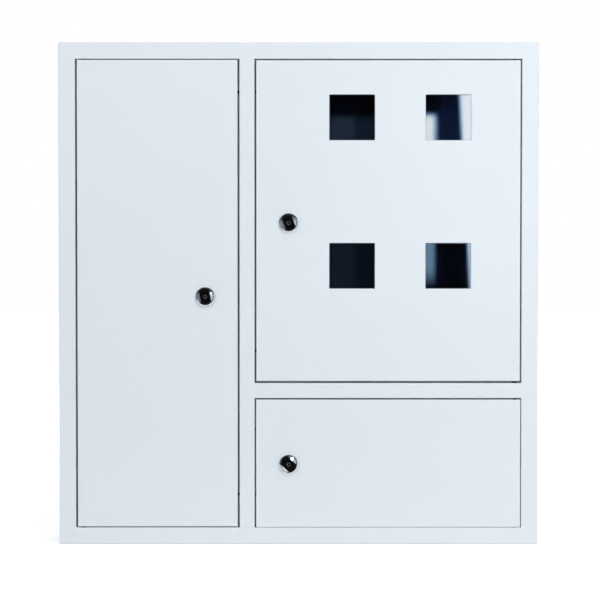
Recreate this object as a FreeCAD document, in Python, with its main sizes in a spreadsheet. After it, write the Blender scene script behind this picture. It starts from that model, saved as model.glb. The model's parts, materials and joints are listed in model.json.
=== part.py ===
# Flush-mounted sheet-steel meter box: a welded shell and face frame with three inset doors.
# The left door closes the signal compartment, the upper right door with its four windows the
# meter compartment and the lower right door the breaker compartment.
# Axes: X to the right, Z up, the front looks along -Y. The origin is the centre of the back face.

import FreeCAD, Part
import math
import os

import Sketcher

doc = FreeCAD.newDocument("meter_box")

# Driving sizes, in millimetres and degrees
SIZES = {
    # whole box and the openings of its face frame
    "width": 955,
    "height": 1000,
    "depth": 150,
    "frame_border": 33,
    "mullion": 30,
    "transom": 30,
    "left_opening": 327,
    "lower_opening": 259,
    "frame_sheet": 1.2,
    "jamb_depth": 22,
    "lip_width": 10,
    "rim_depth": 10,
    "bend_radius": 1.5,
    "rim_bend": 2.5,
    # shell behind the face frame
    "shell_sheet": 1.2,
    "weld_flange": 7,
    "flange_clearance": 1.6,
    "tray_flange": 12,
    "wall_hole": 9,
    "wall_hole_side_inset": 65.5,
    "wall_hole_end_inset": 38,
    "knockout": 40,
    "knockout_groove": 1.2,
    "knockout_depth": 0.6,
    "knockout_pitch": 110,
    "divider_flange": 12,
    "divider_notch": 9,
    "shelf_wiring_gap": 45,
    "shelf_flange": 10,
    # doors and their pivots
    "door_sheet": 1.2,
    "left_hinge_gap": 4,
    "left_lock_gap": 3.8,
    "left_top_gap": 2,
    "left_bottom_gap": 2.2,
    "meter_hinge_gap": 3,
    "meter_lock_gap": 3.5,
    "meter_top_gap": 2.8,
    "meter_bottom_gap": 4.2,
    "breaker_hinge_gap": 1.8,
    "breaker_lock_gap": 2.9,
    "breaker_top_gap": 3,
    "breaker_bottom_gap": 0.9,
    "door_return": 16,
    "door_bend_radius": 1,
    "pivot_inset": 11,
    "pivot_depth": 5,
    "pin_diameter": 5,
    "pin_head": 7,
    "pin_head_height": 1.5,
    "pin_reach": 6,
    "pin_clearance": 0.1,
    "washer_diameter": 8,
    "buffer_diameter": 8,
    "buffer_end_gap": 64,
    "buffer_clearance": 0.2,
    "stiffener_crown": 30,
    "stiffener_foot": 15,
    "stiffener_depth": 18,
    "stiffener_end": 60,
    "stiffener_sheet": 1.2,
    # windows of the meter door
    "window_size": 91,
    "window_corner": 1.5,
    "window_edge": 0.5,
    "window_pitch_across": 191.5,
    "window_shift": 24,
    "window_drop": 116,
    "window_rise": 234,
    "pane_margin": 10,
    "pane_thick": 3,
    "pane_clearance": 0.5,
    "retainer_sheet": 1,
    "retainer_flange": 12,
    "retainer_lip": 13,
    "stud_diameter": 4,
    "stud_length": 9,
    "stud_clearance": 0.2,
    "stud_nut": 7,
    "stud_nut_thick": 3.2,
    # quarter-turn locks
    "lock_setback": 68,
    "left_lock_drop": 5.5,
    "meter_lock_drop": 3,
    "breaker_lock_drop": 2.5,
    "left_lock_tilt": 10,
    "meter_lock_tilt": 21,
    "breaker_lock_tilt": 49,
    "lock_head": 38,
    "lock_head_height": 5,
    "lock_head_round": 0.8,
    "lock_rim_fall": 1.5,
    "lock_recess": 2.6,
    "lock_cone": 2.3,
    "insert_diameter": 31,
    "insert_width": 21,
    "insert_rise": 5.3,
    "insert_bevel": 1,
    "insert_clearance": 0.3,
    "barrel_diameter": 22,
    "barrel_flats": 20,
    "barrel_clearance": 0.2,
    "shaft_diameter": 12,
    "shaft_clearance": 0.2,
    "socket_diameter": 9.5,
    "socket_depth": 5,
    "socket_pin": 3.6,
    "socket_wing": 13.5,
    "socket_wing_width": 3.2,
    "lock_nut": 27,
    "lock_nut_thick": 5,
    "cam_thick": 3,
    "cam_width": 18,
    "cam_square": 8,
    "cam_clearance": 1,
    "cam_engagement": 5.5,
    "cam_screw": 5,
    "cam_screw_length": 9,
    "cam_screw_head": 10,
    "cam_screw_head_height": 3.5,
    # meter panel, its brackets and rails
    "panel_sheet": 1.5,
    "panel_side_gap": 5,
    "panel_drop": 40,
    "panel_end_gap": 54,
    "panel_stand": 42,
    "panel_flange": 15,
    "bracket_sheet": 1.5,
    "bracket_flange": 15,
    "bracket_end_gap": 15,
    "bracket_inset": 70,
    "meter_slot_width": 6,
    "meter_slot_length": 30,
    "meter_slot_rise": 40,
    "meter_slot_drop": 95,
    "meter_slot_spread": 105,
    "rail_height": 35,
    "rail_channel": 27,
    "rail_depth": 7.5,
    "rail_sheet": 1,
    "rail_slot_length": 18,
    "rail_slot_width": 6.2,
    "rail_slot_pitch": 36,
    "rail_slot_margin": 15,
    "meter_rail_end_gap": 20,
    "meter_rail_drop": 150,
    "meter_rail_fixing_inset": 53,
    "screw_diameter": 5,
    "screw_clearance": 0.1,
    "screw_head": 9,
    "screw_head_height": 2.6,
    "screw_head_bevel": 0.9,
    "screw_grip": 4,
    # breaker compartment
    "breaker_rail_end_gap": 7,
    "breaker_stand": 50,
    "breaker_bracket_inset": 45,
    "breaker_bracket_height": 60,
    "cover_sheet": 1.2,
    "cover_side_gap": 14,
    "cover_end_gap": 16,
    "cover_stand": 100,
    "cover_fold": 12,
    "cover_slot_height": 46,
    "cover_slot_margin": 12,
    "cover_post": 10,
    "cover_post_side_inset": 35,
    "cover_post_end_inset": 32.5,
    "cover_hole_clearance": 0.2,
    "thumb_screw": 4,
    "thumb_screw_length": 12,
    "thumb_head": 14,
    "thumb_head_height": 8,
    "blank_clearance": 0.25,
    "blank_sheet": 1.5,
    "blank_depth": 4,
    "blank_lap": 2,
    "module_pitch": 17.5,
    "module_groove": 0.8,
    "module_groove_depth": 0.6,
    "bar_length": 204,
    "bar_depth": 8,
    "bar_height": 12,
    "bar_offset": 78,
    "bar_stand": 30,
    "bar_hole_pitch": 17,
    "bar_hole_margin": 33,
    "bar_wire_hole": 5.6,
    "bar_screw": 5,
    "bar_screw_head": 8,
    "bar_screw_head_height": 3.5,
    "bar_support_inset": 10,
    "insulator_diameter": 18,
    "insulator_waist": 13,
    "support_post": 12,
    # signal compartment and earthing
    "plate_side_gap": 31.5,
    "plate_end_gap": 87,
    "plate_stand": 15,
    "plate_sheet": 1.2,
    "plate_fold": 10,
    "plate_slot_length": 24,
    "plate_slot_width": 6,
    "plate_slot_pitch": 46,
    "plate_row_pitch": 70,
    "plate_slot_side_margin": 25,
    "plate_slot_end_margin": 60,
    "plate_fixing_inset": 18,
    "earth_stud": 8,
    "earth_stud_length": 32,
    "earth_stud_inset": 60,
    "earth_nut": 13,
    "earth_nut_thick": 6.5,
    "earth_washer": 17,
    "earth_washer_thick": 1.6,
}

METER_ROWS = 2
METER_COLUMNS = 2
BLANK_STRIPS = 3
LEFT_KNOCKOUTS = 2
RIGHT_KNOCKOUTS = 4
HALF_TURN = 180
FULL_TURN = 360
HEXAGON_CORNER = 1 / math.sqrt(3)  # half the width across corners of a hexagon, for one across flats
NEAR = 0.01  # closer than this, two places count as one


class Size:
    # A length that knows both its number and the spreadsheet formula that gives it
    def __init__(self, number, formula):
        self.number = number
        self.formula = formula

    def __add__(self, other):
        return combine(self, "+", other, self.number + as_size(other).number)

    def __sub__(self, other):
        return combine(self, "-", other, self.number - as_size(other).number)

    def __mul__(self, other):
        return combine(self, "*", other, self.number * as_size(other).number)

    def __truediv__(self, other):
        return combine(self, "/", other, self.number / as_size(other).number)

    def __neg__(self):
        return combine(0, "-", self, -self.number)


def as_size(value):
    return value if isinstance(value, Size) else Size(float(value), repr(float(value)))


def combine(first, sign, second, number):
    return Size(number, f"({as_size(first).formula} {sign} {as_size(second).formula})")


class Dimensions:
    # One attribute for each alias of the spreadsheet
    def __init__(self):
        sheet = doc.addObject("Spreadsheet::Sheet", "dims")
        for row, (alias, number) in enumerate(SIZES.items(), start=1):
            sheet.set(f"A{row}", alias.replace("_", " "))
            sheet.set(f"B{row}", str(number))
            sheet.setAlias(f"B{row}", alias)
            setattr(self, alias, Size(float(number), f"dims.{alias}"))
        doc.recompute()


d = Dimensions()
ZERO = as_size(0)
pieces = []


def spread(count):
    # steps of one, set evenly about nought
    return [number - (count - 1) / 2 for number in range(count)]


def copies(room, pitch):
    # how many places at this pitch the room takes, with one at each end where it is just long enough
    return int(room.number / pitch.number + NEAR) + 1


# Sketches and features

def bind(item, name, size):
    item.setExpression(name, as_size(size).formula)


def new_piece(label):
    body = doc.addObject("PartDesign::Body", label)
    body.Label = label
    pieces.append(body)
    return body


def sketch_on(body, plane, offset, across=ZERO, up=ZERO, turn=None):
    sketch = body.newObject("Sketcher::SketchObject", body.Name + "_outline")
    support = next(f for f in body.Origin.OriginFeatures if f.Role == plane + "_Plane")
    sketch.AttachmentSupport = [(support, "")]
    sketch.MapMode = "FlatFace"
    bind(sketch, "AttachmentOffset.Base.x", across)
    bind(sketch, "AttachmentOffset.Base.y", up)
    bind(sketch, "AttachmentOffset.Base.z", offset)
    if turn is not None:
        bind(sketch, "AttachmentOffset.Rotation.Angle", turn)
    return Drawing(sketch)


def front_sketch(body, depth, across=ZERO, up=ZERO, turn=None):
    # local x is X, local y is Z, and the sketch faces the front at this distance from the back face
    return sketch_on(body, "XZ", depth, across, up, turn)


class Drawing:
    # A sketch whose lines and constraints are gathered first and then added together
    def __init__(self, sketch):
        self.sketch = sketch
        self.lines = []
        self.constraints = []
        self.bound = []

    def add(self, line):
        self.lines.append(line)
        return len(self.lines) - 1

    def hold(self, *constraint):
        self.constraints.append(Sketcher.Constraint(*constraint))

    def hold_to(self, size, *constraint):
        self.bound.append((len(self.constraints), size))
        self.hold(*constraint, size.number)

    def finished(self):
        if self.lines:
            self.sketch.addGeometry(self.lines, False)
            self.sketch.addConstraint(self.constraints)
            for number, size in self.bound:
                bind(self.sketch, f"Constraints[{number}]", size)
            self.lines = []
        return self.sketch


def place(sketch, geometry, point, x, y):
    sketch.hold_to(as_size(x), "DistanceX", -1, 1, geometry, point)
    sketch.hold_to(as_size(y), "DistanceY", -1, 1, geometry, point)


def measure(sketch, kind, geometry, size):
    sketch.hold_to(size, kind, geometry)


def vector(x, y):
    return FreeCAD.Vector(as_size(x).number, as_size(y).number, 0)


def polygon(sketch, corners):
    first = len(sketch.lines)
    count = len(corners)
    for n in range(count):
        sketch.add(Part.LineSegment(vector(*corners[n]), vector(*corners[(n + 1) % count])))
    for n in range(count):
        sketch.hold("Coincident", first + n, 2, first + (n + 1) % count, 1)
    for n, corner in enumerate(corners):
        place(sketch, first + n, 1, *corner)


def rectangle(sketch, left, bottom, across, up):
    right = left + across
    top = bottom + up
    polygon(sketch, [(left, bottom), (right, bottom), (right, top), (left, top)])


def centred_rectangle(sketch, x, y, across, up):
    rectangle(sketch, as_size(x) - across / 2, as_size(y) - up / 2, across, up)


def circle(sketch, x, y, diameter):
    number = sketch.add(Part.Circle(vector(x, y), FreeCAD.Vector(0, 0, 1), diameter.number / 2))
    place(sketch, number, 3, x, y)
    measure(sketch, "Diameter", number, diameter)


def hexagon(sketch, x, y, across_flats):
    x = as_size(x)
    corner = across_flats * HEXAGON_CORNER
    side = across_flats / 2
    right = [(corner / 2, -1), (corner, 0), (corner / 2, 1)]
    corners = right + [(-step, part) for step, part in reversed(right)]
    polygon(sketch, [(x + step, as_size(y) + side * part) for step, part in corners])


def arc_outline(sketch, arcs, radius):
    # two facing arcs of one radius, joined by two straight lines
    numbers = []
    ends = []
    for x, y, start, end in arcs:
        ring = Part.Circle(vector(x, y), FreeCAD.Vector(0, 0, 1), radius.number)
        arc = Part.ArcOfCircle(ring, start, end)
        numbers.append(sketch.add(arc))
        ends += [arc.StartPoint, arc.EndPoint]
    numbers.append(sketch.add(Part.LineSegment(ends[1], ends[2])))
    numbers.append(sketch.add(Part.LineSegment(ends[3], ends[0])))
    return numbers


def join_outline(sketch, kind, first, second, over, under):
    # ends of the two arcs with the ends of the two lines between them
    joints = ((first, 2, over, 1), (second, 1, over, 2), (second, 2, under, 1), (first, 1, under, 2))
    for joint in joints:
        sketch.hold(kind, *joint)
    sketch.hold("Equal", first, second)


def slot(sketch, x, y, length, width, upright=False):
    reach = (length - width) / 2
    x = as_size(x)
    y = as_size(y)
    if upright:
        centres = [(x, y + reach), (x, y - reach)]
        starts = (0, math.pi)
    else:
        centres = [(x - reach, y), (x + reach, y)]
        starts = (math.pi / 2, -math.pi / 2)
    arcs = [(*centre, start, start + math.pi) for centre, start in zip(centres, starts)]
    first, second, over, under = arc_outline(sketch, arcs, width / 2)
    join_outline(sketch, "Tangent", first, second, over, under)
    for arc, centre in ((first, centres[0]), (second, centres[1])):
        place(sketch, arc, 3, *centre)
    measure(sketch, "Radius", first, width / 2)


def pad(body, sketch, length, reverse=False):
    feature = body.newObject("PartDesign::Pad", body.Name + "_pad")
    feature.Profile = sketch.finished()
    bind(feature, "Length", length)
    feature.Reversed = reverse
    body.Tip = feature
    return feature


def pocket(body, sketch, length, reverse=False):
    # cuts against the sketch's own direction, or along it when reversed
    feature = body.newObject("PartDesign::Pocket", body.Name + "_pocket")
    feature.Profile = sketch.finished()
    bind(feature, "Length", length)
    feature.Reversed = reverse
    body.Tip = feature
    return feature


def revolve(body, sketch):
    feature = body.newObject("PartDesign::Revolution", body.Name + "_turned")
    feature.Profile = sketch.finished()
    feature.ReferenceAxis = (sketch.sketch, ["V_Axis"])
    feature.Angle = FULL_TURN
    body.Tip = feature
    return feature


def repeat(body, features, sketch, across, columns, up=None, rows=1):
    # copies the features along the sketch's x, and along its y where rows are given
    pattern = body.newObject("PartDesign::LinearPattern", body.Name + "_rows")
    pattern.Originals = features
    pattern.Direction = (sketch.sketch, ["H_Axis"])
    bind(pattern, "Length", across * (columns - 1))
    pattern.Occurrences = columns
    if up is not None:
        pattern.Direction2 = (sketch.sketch, ["V_Axis"])
        bind(pattern, "Length2", up * (rows - 1))
        pattern.Occurrences2 = rows
    body.Tip = pattern
    return pattern


def soften(body, kind, size, chosen):
    # Fillet or Chamfer on the edges of the body that the test picks by their two end points
    doc.recompute()
    tip = body.Tip
    names = [f"Edge{n}" for n, edge in enumerate(tip.Shape.Edges, start=1) if chosen(edge)]
    feature = body.newObject("PartDesign::" + kind, body.Name + "_" + kind.lower())
    feature.Base = (tip, names)
    bind(feature, "Radius" if kind == "Fillet" else "Size", size)
    body.Tip = feature
    return feature


def at_depth(edge, depth):
    box = edge.BoundBox
    return abs(box.YMin + depth.number) < NEAR and abs(box.YMax + depth.number) < NEAR


def runs_along_depth(edge):
    box = edge.BoundBox
    return box.XLength < NEAR and box.ZLength < NEAR


# Places that several pieces share

FRONT = d.depth
FRAME_BACK = d.depth - d.frame_sheet
LIP_FRONT = d.depth - d.jamb_depth
LIP_BACK = LIP_FRONT - d.frame_sheet
RIM_BACK = d.depth - d.rim_depth
WALL_OVERLAP = d.frame_border - d.frame_sheet - d.flange_clearance - d.weld_flange - d.shell_sheet
SHELL_WIDTH = d.width - WALL_OVERLAP * 2
SHELL_HEIGHT = d.height - WALL_OVERLAP * 2
INNER_WIDTH = SHELL_WIDTH - d.shell_sheet * 2
INNER_HEIGHT = SHELL_HEIGHT - d.shell_sheet * 2
FLOOR = d.shell_sheet  # inner face of the back panel, as a distance from the back face


class Opening:
    # One opening of the face frame, by its lower left corner and its size
    def __init__(self, left, bottom, across, up):
        self.left = left
        self.bottom = bottom
        self.across = across
        self.up = up
        self.right = left + across
        self.top = bottom + up
        self.middle = left + across / 2
        self.centre = bottom + up / 2

    def grown(self, margin):
        both = margin * 2
        return Opening(self.left - margin, self.bottom - margin, self.across + both, self.up + both)

    def draw(self, sketch):
        rectangle(sketch, self.left, self.bottom, self.across, self.up)


RIGHT_LEFT = d.frame_border + d.left_opening + d.mullion - d.width / 2
RIGHT_ACROSS = d.width - d.frame_border * 2 - d.mullion - d.left_opening
CLEAR_HEIGHT = d.height - d.frame_border * 2
LEFT = Opening(d.frame_border - d.width / 2, d.frame_border - d.height / 2, d.left_opening, CLEAR_HEIGHT)
BREAKER = Opening(RIGHT_LEFT, LEFT.bottom, RIGHT_ACROSS, d.lower_opening)
UPPER_OPENING = CLEAR_HEIGHT - d.transom - d.lower_opening
METER = Opening(RIGHT_LEFT, BREAKER.top + d.transom, RIGHT_ACROSS, UPPER_OPENING)
OPENINGS = (LEFT, METER, BREAKER)
DIVIDER_MIDDLE = LEFT.right + d.mullion / 2
SHELF_CENTRE = METER.bottom - d.transom / 2


# Shell

def build_back_panel():
    body = new_piece("back_panel")
    outline = front_sketch(body, ZERO)
    centred_rectangle(outline, 0, 0, INNER_WIDTH, INNER_HEIGHT)
    for across in (-1, 1):
        for up in (-1, 1):
            x = (SHELL_WIDTH / 2 - d.wall_hole_side_inset) * across
            z = (SHELL_HEIGHT / 2 - d.wall_hole_end_inset) * up
            circle(outline, x, z, d.wall_hole)
    pad(body, outline, d.shell_sheet)
    upstand = front_sketch(body, ZERO)
    centred_rectangle(upstand, 0, 0, INNER_WIDTH, INNER_HEIGHT)
    centred_rectangle(upstand, 0, 0, INNER_WIDTH - d.shell_sheet * 2, INNER_HEIGHT - d.shell_sheet * 2)
    pad(body, upstand, d.tray_flange)


def build_side_wall(label, side):
    # runs up the whole height of the shell, with its flange cut short of the end walls
    body = new_piece(label)
    outer = SHELL_WIDTH / 2 * side
    inner = INNER_WIDTH / 2 * side
    edge = (INNER_WIDTH / 2 - d.weld_flange) * side
    web = sketch_on(body, "YZ", inner if side > 0 else outer)
    rectangle(web, -FRAME_BACK, -SHELL_HEIGHT / 2, FRAME_BACK, SHELL_HEIGHT)
    pad(body, web, d.shell_sheet)
    flange = front_sketch(body, FRAME_BACK - d.shell_sheet)
    rectangle(flange, edge if side > 0 else inner, -INNER_HEIGHT / 2, d.weld_flange, INNER_HEIGHT)
    pad(body, flange, d.shell_sheet)


def build_end_wall(label, side):
    # top or bottom wall, between the side walls, with its flange cut short of theirs
    body = new_piece(label)
    outer = SHELL_HEIGHT / 2 * side
    inner = INNER_HEIGHT / 2 * side
    low = inner if side > 0 else outer
    web = sketch_on(body, "XY", low)
    rectangle(web, -INNER_WIDTH / 2, -FRAME_BACK, INNER_WIDTH, FRAME_BACK)
    pad(body, web, d.shell_sheet)
    flange = front_sketch(body, FRAME_BACK - d.shell_sheet)
    edge = (INNER_HEIGHT / 2 - d.weld_flange) * side
    across = INNER_WIDTH - d.weld_flange * 2
    rectangle(flange, -across / 2, edge if side > 0 else inner, across, d.weld_flange)
    pad(body, flange, d.shell_sheet)
    groove = sketch_on(body, "XY", outer)
    for opening, count in ((LEFT, LEFT_KNOCKOUTS), (METER, RIGHT_KNOCKOUTS)):
        for step in spread(count):
            x = opening.middle + d.knockout_pitch * step
            circle(groove, x, -d.depth / 2, d.knockout)
            circle(groove, x, -d.depth / 2, d.knockout - d.knockout_groove * 2)
    pocket(body, groove, d.knockout_depth, reverse=side < 0)


def on_outline(edge, inset):
    # along a side of the face frame, at this distance inside its edge, or along one of its outer corners
    box = edge.BoundBox
    across = (d.width / 2 - inset).number
    up = (d.height / 2 - inset).number
    upright = box.XLength < NEAR and abs(abs(box.XMin) - across) < NEAR
    level = box.ZLength < NEAR and abs(abs(box.ZMin) - up) < NEAR
    return upright or level


def build_front_frame():
    body = new_piece("front_frame")
    face = front_sketch(body, FRAME_BACK)
    centred_rectangle(face, 0, 0, d.width, d.height)
    for opening in OPENINGS:
        opening.draw(face)
    pad(body, face, d.frame_sheet)
    rim = front_sketch(body, RIM_BACK)
    centred_rectangle(rim, 0, 0, d.width, d.height)
    centred_rectangle(rim, 0, 0, d.width - d.frame_sheet * 2, d.height - d.frame_sheet * 2)
    pad(body, rim, d.rim_depth)
    for opening in OPENINGS:
        jamb = front_sketch(body, LIP_BACK)
        opening.draw(jamb)
        opening.grown(d.frame_sheet).draw(jamb)
        pad(body, jamb, d.jamb_depth + d.frame_sheet)
        lip = front_sketch(body, LIP_BACK)
        opening.grown(d.frame_sheet).draw(lip)
        opening.grown(-d.lip_width).draw(lip)
        pad(body, lip, d.frame_sheet)
    for door in DOORS:
        for level, reverse in ((door.opening.top, False), (door.opening.bottom, True)):
            hole = sketch_on(body, "XY", level)
            circle(hole, door.pivot_x, -PIVOT_DEPTH, d.pin_diameter + d.pin_clearance * 2)
            pocket(body, hole, d.frame_sheet, reverse=not reverse)
    soften(body, "Fillet", d.bend_radius, lambda edge: at_depth(edge, FRONT) and not on_outline(edge, ZERO))
    soften(body, "Fillet", d.rim_bend, lambda edge: on_outline(edge, ZERO) and not at_depth(edge, RIM_BACK))
    inner_bend = d.rim_bend - d.frame_sheet
    soften(body, "Fillet", inner_bend, lambda edge: at_depth(edge, FRAME_BACK) and on_outline(edge, d.frame_sheet))


def build_compartment_divider():
    body = new_piece("compartment_divider")
    web = sketch_on(body, "YZ", DIVIDER_MIDDLE - d.shell_sheet / 2)
    top = INNER_HEIGHT / 2 - d.shell_sheet
    notch = top - d.divider_notch
    shoulder = FRAME_BACK - d.divider_notch
    corners = [
        (-FLOOR, -top),
        (-FLOOR, top),
        (-shoulder, top),
        (-shoulder, notch),
        (-FRAME_BACK, notch),
        (-FRAME_BACK, -notch),
        (-shoulder, -notch),
        (-shoulder, -top),
    ]
    polygon(web, corners)
    pad(body, web, d.shell_sheet)
    for depth in (FLOOR, FRAME_BACK - d.shell_sheet):
        flange = front_sketch(body, depth)
        left = DIVIDER_MIDDLE - d.shell_sheet / 2
        rectangle(flange, left, -notch, d.divider_flange, notch * 2)
        pad(body, flange, d.shell_sheet)


def build_shelf_divider():
    # folded shelf between the two right compartments, clear of the back panel for the wiring
    body = new_piece("shelf_divider")
    left = DIVIDER_MIDDLE + d.shell_sheet / 2
    section = sketch_on(body, "YZ", left)
    top = SHELF_CENTRE + d.shell_sheet / 2
    under = SHELF_CENTRE - d.shell_sheet / 2
    back = d.shelf_wiring_gap
    front = FRAME_BACK - d.shell_sheet
    corners = [
        (-back, top + d.shelf_flange),
        (-back, under),
        (d.shell_sheet - front, under),
        (d.shell_sheet - front, under - d.shelf_flange),
        (-front, under - d.shelf_flange),
        (-front, top),
        (-back - d.shell_sheet, top),
        (-back - d.shell_sheet, top + d.shelf_flange),
    ]
    polygon(section, corners)
    pad(body, section, INNER_WIDTH / 2 - left)


# Doors

PIVOT_DEPTH = FRONT - d.pivot_depth


class Door:
    # One inset door, with its pivots at the left (-1) or right (1) edge and its lock at the other edge
    def __init__(self, name, opening, hinge_side, lock_drop, lock_tilt, cam_turn):
        self.name = name
        self.opening = opening
        gaps = [getattr(d, f"{name}_{side}_gap") for side in ("hinge", "lock", "top", "bottom")]
        hinge_gap, lock_gap, self.top_gap, self.bottom_gap = gaps
        left_gap = hinge_gap if hinge_side < 0 else lock_gap
        across = opening.across - hinge_gap - lock_gap
        up = opening.up - self.top_gap - self.bottom_gap
        self.leaf = Opening(opening.left + left_gap, opening.bottom + self.bottom_gap, across, up)
        hinge_edge = self.leaf.left if hinge_side < 0 else self.leaf.right
        self.pivot_x = hinge_edge - d.pivot_inset * hinge_side
        lock_edge = opening.right if hinge_side < 0 else opening.left
        self.lock_x = lock_edge + d.lock_setback * hinge_side
        self.lock_z = opening.centre - lock_drop
        self.lock_tilt = lock_tilt
        self.cam_turn = cam_turn
        self.buffer_x = lock_edge + d.lip_width / 2 * hinge_side


LEFT_DOOR = Door("left", LEFT, -1, d.left_lock_drop, d.left_lock_tilt, HALF_TURN)
DOORS = (
    LEFT_DOOR,
    Door("meter", METER, 1, d.meter_lock_drop, d.meter_lock_tilt, 0),
    Door("breaker", BREAKER, 1, d.breaker_lock_drop, d.breaker_lock_tilt, 0),
)
WINDOWS_MIDDLE = METER.middle + d.window_shift
WINDOWS_TOP = METER.top - d.window_drop
WINDOW_PITCH_UP = (WINDOWS_TOP - METER.bottom - d.window_rise) / (METER_ROWS - 1)


def window_places():
    for row in range(METER_ROWS):
        for step in spread(METER_COLUMNS):
            yield WINDOWS_MIDDLE + d.window_pitch_across * step, WINDOWS_TOP - WINDOW_PITCH_UP * row


def two_flats(sketch, diameter, flats):
    # a circle cut by two upright flats, drawn about the sketch's own origin
    angle = math.acos(flats.number / diameter.number)
    arcs = [(0, 0, angle + turn, math.pi - angle + turn) for turn in (0, math.pi)]
    first, second, left, right = arc_outline(sketch, arcs, diameter / 2)
    join_outline(sketch, "Coincident", first, second, left, right)
    for arc in (first, second):
        sketch.hold("Coincident", arc, 3, -1, 1)
    measure(sketch, "Diameter", first, diameter)
    for line, side in ((left, -1), (right, 1)):
        sketch.hold("Vertical", line)
        sketch.hold_to(flats / 2 * side, "DistanceX", -1, 1, line, 1)


def at_window_corner(edge):
    corner = edge.BoundBox
    half = d.window_size.number / 2
    places = [(abs(corner.XMin - x.number), abs(corner.ZMin - z.number)) for x, z in window_places()]
    return runs_along_depth(edge) and any(max(abs(x - half), abs(z - half)) < NEAR for x, z in places)


def at_window_edge(edge):
    box = edge.BoundBox
    reach = d.window_size.number / 2 + NEAR
    for x, z in window_places():
        across = max(abs(box.XMin - x.number), abs(box.XMax - x.number))
        up = max(abs(box.ZMin - z.number), abs(box.ZMax - z.number))
        if across < reach and up < reach:
            return at_depth(edge, FRONT)
    return False


def build_door(door):
    body = new_piece(door.name + "_door")
    face = front_sketch(body, FRONT - d.door_sheet)
    door.leaf.draw(face)
    pad(body, face, d.door_sheet)
    returns = front_sketch(body, FRONT - d.door_return)
    door.leaf.draw(returns)
    door.leaf.grown(-d.door_sheet).draw(returns)
    pad(body, returns, d.door_return)
    lock_hole = front_sketch(body, FRONT, door.lock_x, door.lock_z)
    grown = d.barrel_clearance * 2
    two_flats(lock_hole, d.barrel_diameter + grown, d.barrel_flats + grown)
    pocket(body, lock_hole, d.door_sheet)
    for level, reverse in ((door.leaf.top, False), (door.leaf.bottom, True)):
        hole = sketch_on(body, "XY", level)
        circle(hole, door.pivot_x, -PIVOT_DEPTH, d.pin_diameter + d.pin_clearance * 2)
        pocket(body, hole, d.door_sheet, reverse=reverse)
    if door.opening is METER:
        windows = front_sketch(body, FRONT)
        for x, z in window_places():
            centred_rectangle(windows, x, z, d.window_size, d.window_size)
        pocket(body, windows, d.door_sheet)
        soften(body, "Fillet", d.window_corner, at_window_corner)
        soften(body, "Fillet", d.window_edge, at_window_edge)
    leaf = door.leaf
    edges = (leaf.left, leaf.right, leaf.bottom, leaf.top)
    left, right, bottom, top = (edge.number for edge in edges)

    def outer_edge(edge):
        box = edge.BoundBox
        upright = min(abs(box.XMin - left), abs(box.XMax - right)) < NEAR and box.XLength < NEAR
        level = min(abs(box.ZMin - bottom), abs(box.ZMax - top)) < NEAR and box.ZLength < NEAR
        return at_depth(edge, FRONT) and (upright or level)

    soften(body, "Fillet", d.door_bend_radius, outer_edge)


def build_pivots():
    body = new_piece("pivot_pins")
    washers = new_piece("pivot_washers")
    for door in DOORS:
        upper = (1, door.opening.top, door.top_gap)
        lower = (-1, door.opening.bottom, door.bottom_gap)
        for side, level, gap in (upper, lower):
            seat = level + d.frame_sheet * side
            head = sketch_on(body, "XY", seat)
            circle(head, door.pivot_x, -PIVOT_DEPTH, d.pin_head)
            pad(body, head, d.pin_head_height, reverse=side < 0)
            shank = sketch_on(body, "XY", seat)
            circle(shank, door.pivot_x, -PIVOT_DEPTH, d.pin_diameter)
            pad(body, shank, d.frame_sheet + gap + d.door_sheet + d.pin_reach, reverse=side > 0)
        ring = sketch_on(washers, "XY", door.opening.bottom)
        circle(ring, door.pivot_x, -PIVOT_DEPTH, d.washer_diameter)
        circle(ring, door.pivot_x, -PIVOT_DEPTH, d.pin_diameter + d.pin_clearance * 2)
        pad(washers, ring, door.bottom_gap - d.pin_clearance)


def build_buffers():
    body = new_piece("door_buffers")
    face = front_sketch(body, LIP_FRONT)
    for door in DOORS:
        for z in (door.opening.bottom + d.buffer_end_gap, door.opening.top - d.buffer_end_gap):
            circle(face, door.buffer_x, z, d.buffer_diameter)
    pad(body, face, d.jamb_depth - d.door_return - d.buffer_clearance)


def build_left_door_stiffener():
    # hat section down the middle of the tall door
    body = new_piece("left_door_stiffener")
    leaf = LEFT_DOOR.leaf
    section = sketch_on(body, "XY", leaf.bottom + d.stiffener_end)
    seat = FRONT - d.door_sheet
    crown = seat - d.stiffener_depth
    sheet = d.stiffener_sheet
    half = d.stiffener_crown / 2
    side = [
        (half + d.stiffener_foot, -seat),
        (half + d.stiffener_foot, sheet - seat),
        (half, sheet - seat),
        (half, -crown),
    ]
    inner = [(half - sheet, -crown - sheet), (half - sheet, -seat)]
    outline = side + [(-x, y) for x, y in reversed(side)]
    outline += [(-x, y) for x, y in reversed(inner)] + inner
    polygon(section, [(LEFT.middle + x, y) for x, y in outline])
    pad(body, section, leaf.up - d.stiffener_end * 2)


# Windows

PANE_SIZE = d.window_size + d.pane_margin * 2
POCKET_SIZE = PANE_SIZE + d.pane_clearance * 2
RETAINER_STEP = POCKET_SIZE + d.retainer_sheet * 2
RETAINER_SIZE = RETAINER_STEP + d.retainer_flange * 2
STUD_SPREAD = RETAINER_STEP + d.retainer_flange
DOOR_BACK = FRONT - d.door_sheet


def stud_places(x, z):
    for across in (-1, 1):
        for up in (-1, 1):
            yield x + STUD_SPREAD / 2 * across, z + STUD_SPREAD / 2 * up


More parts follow.
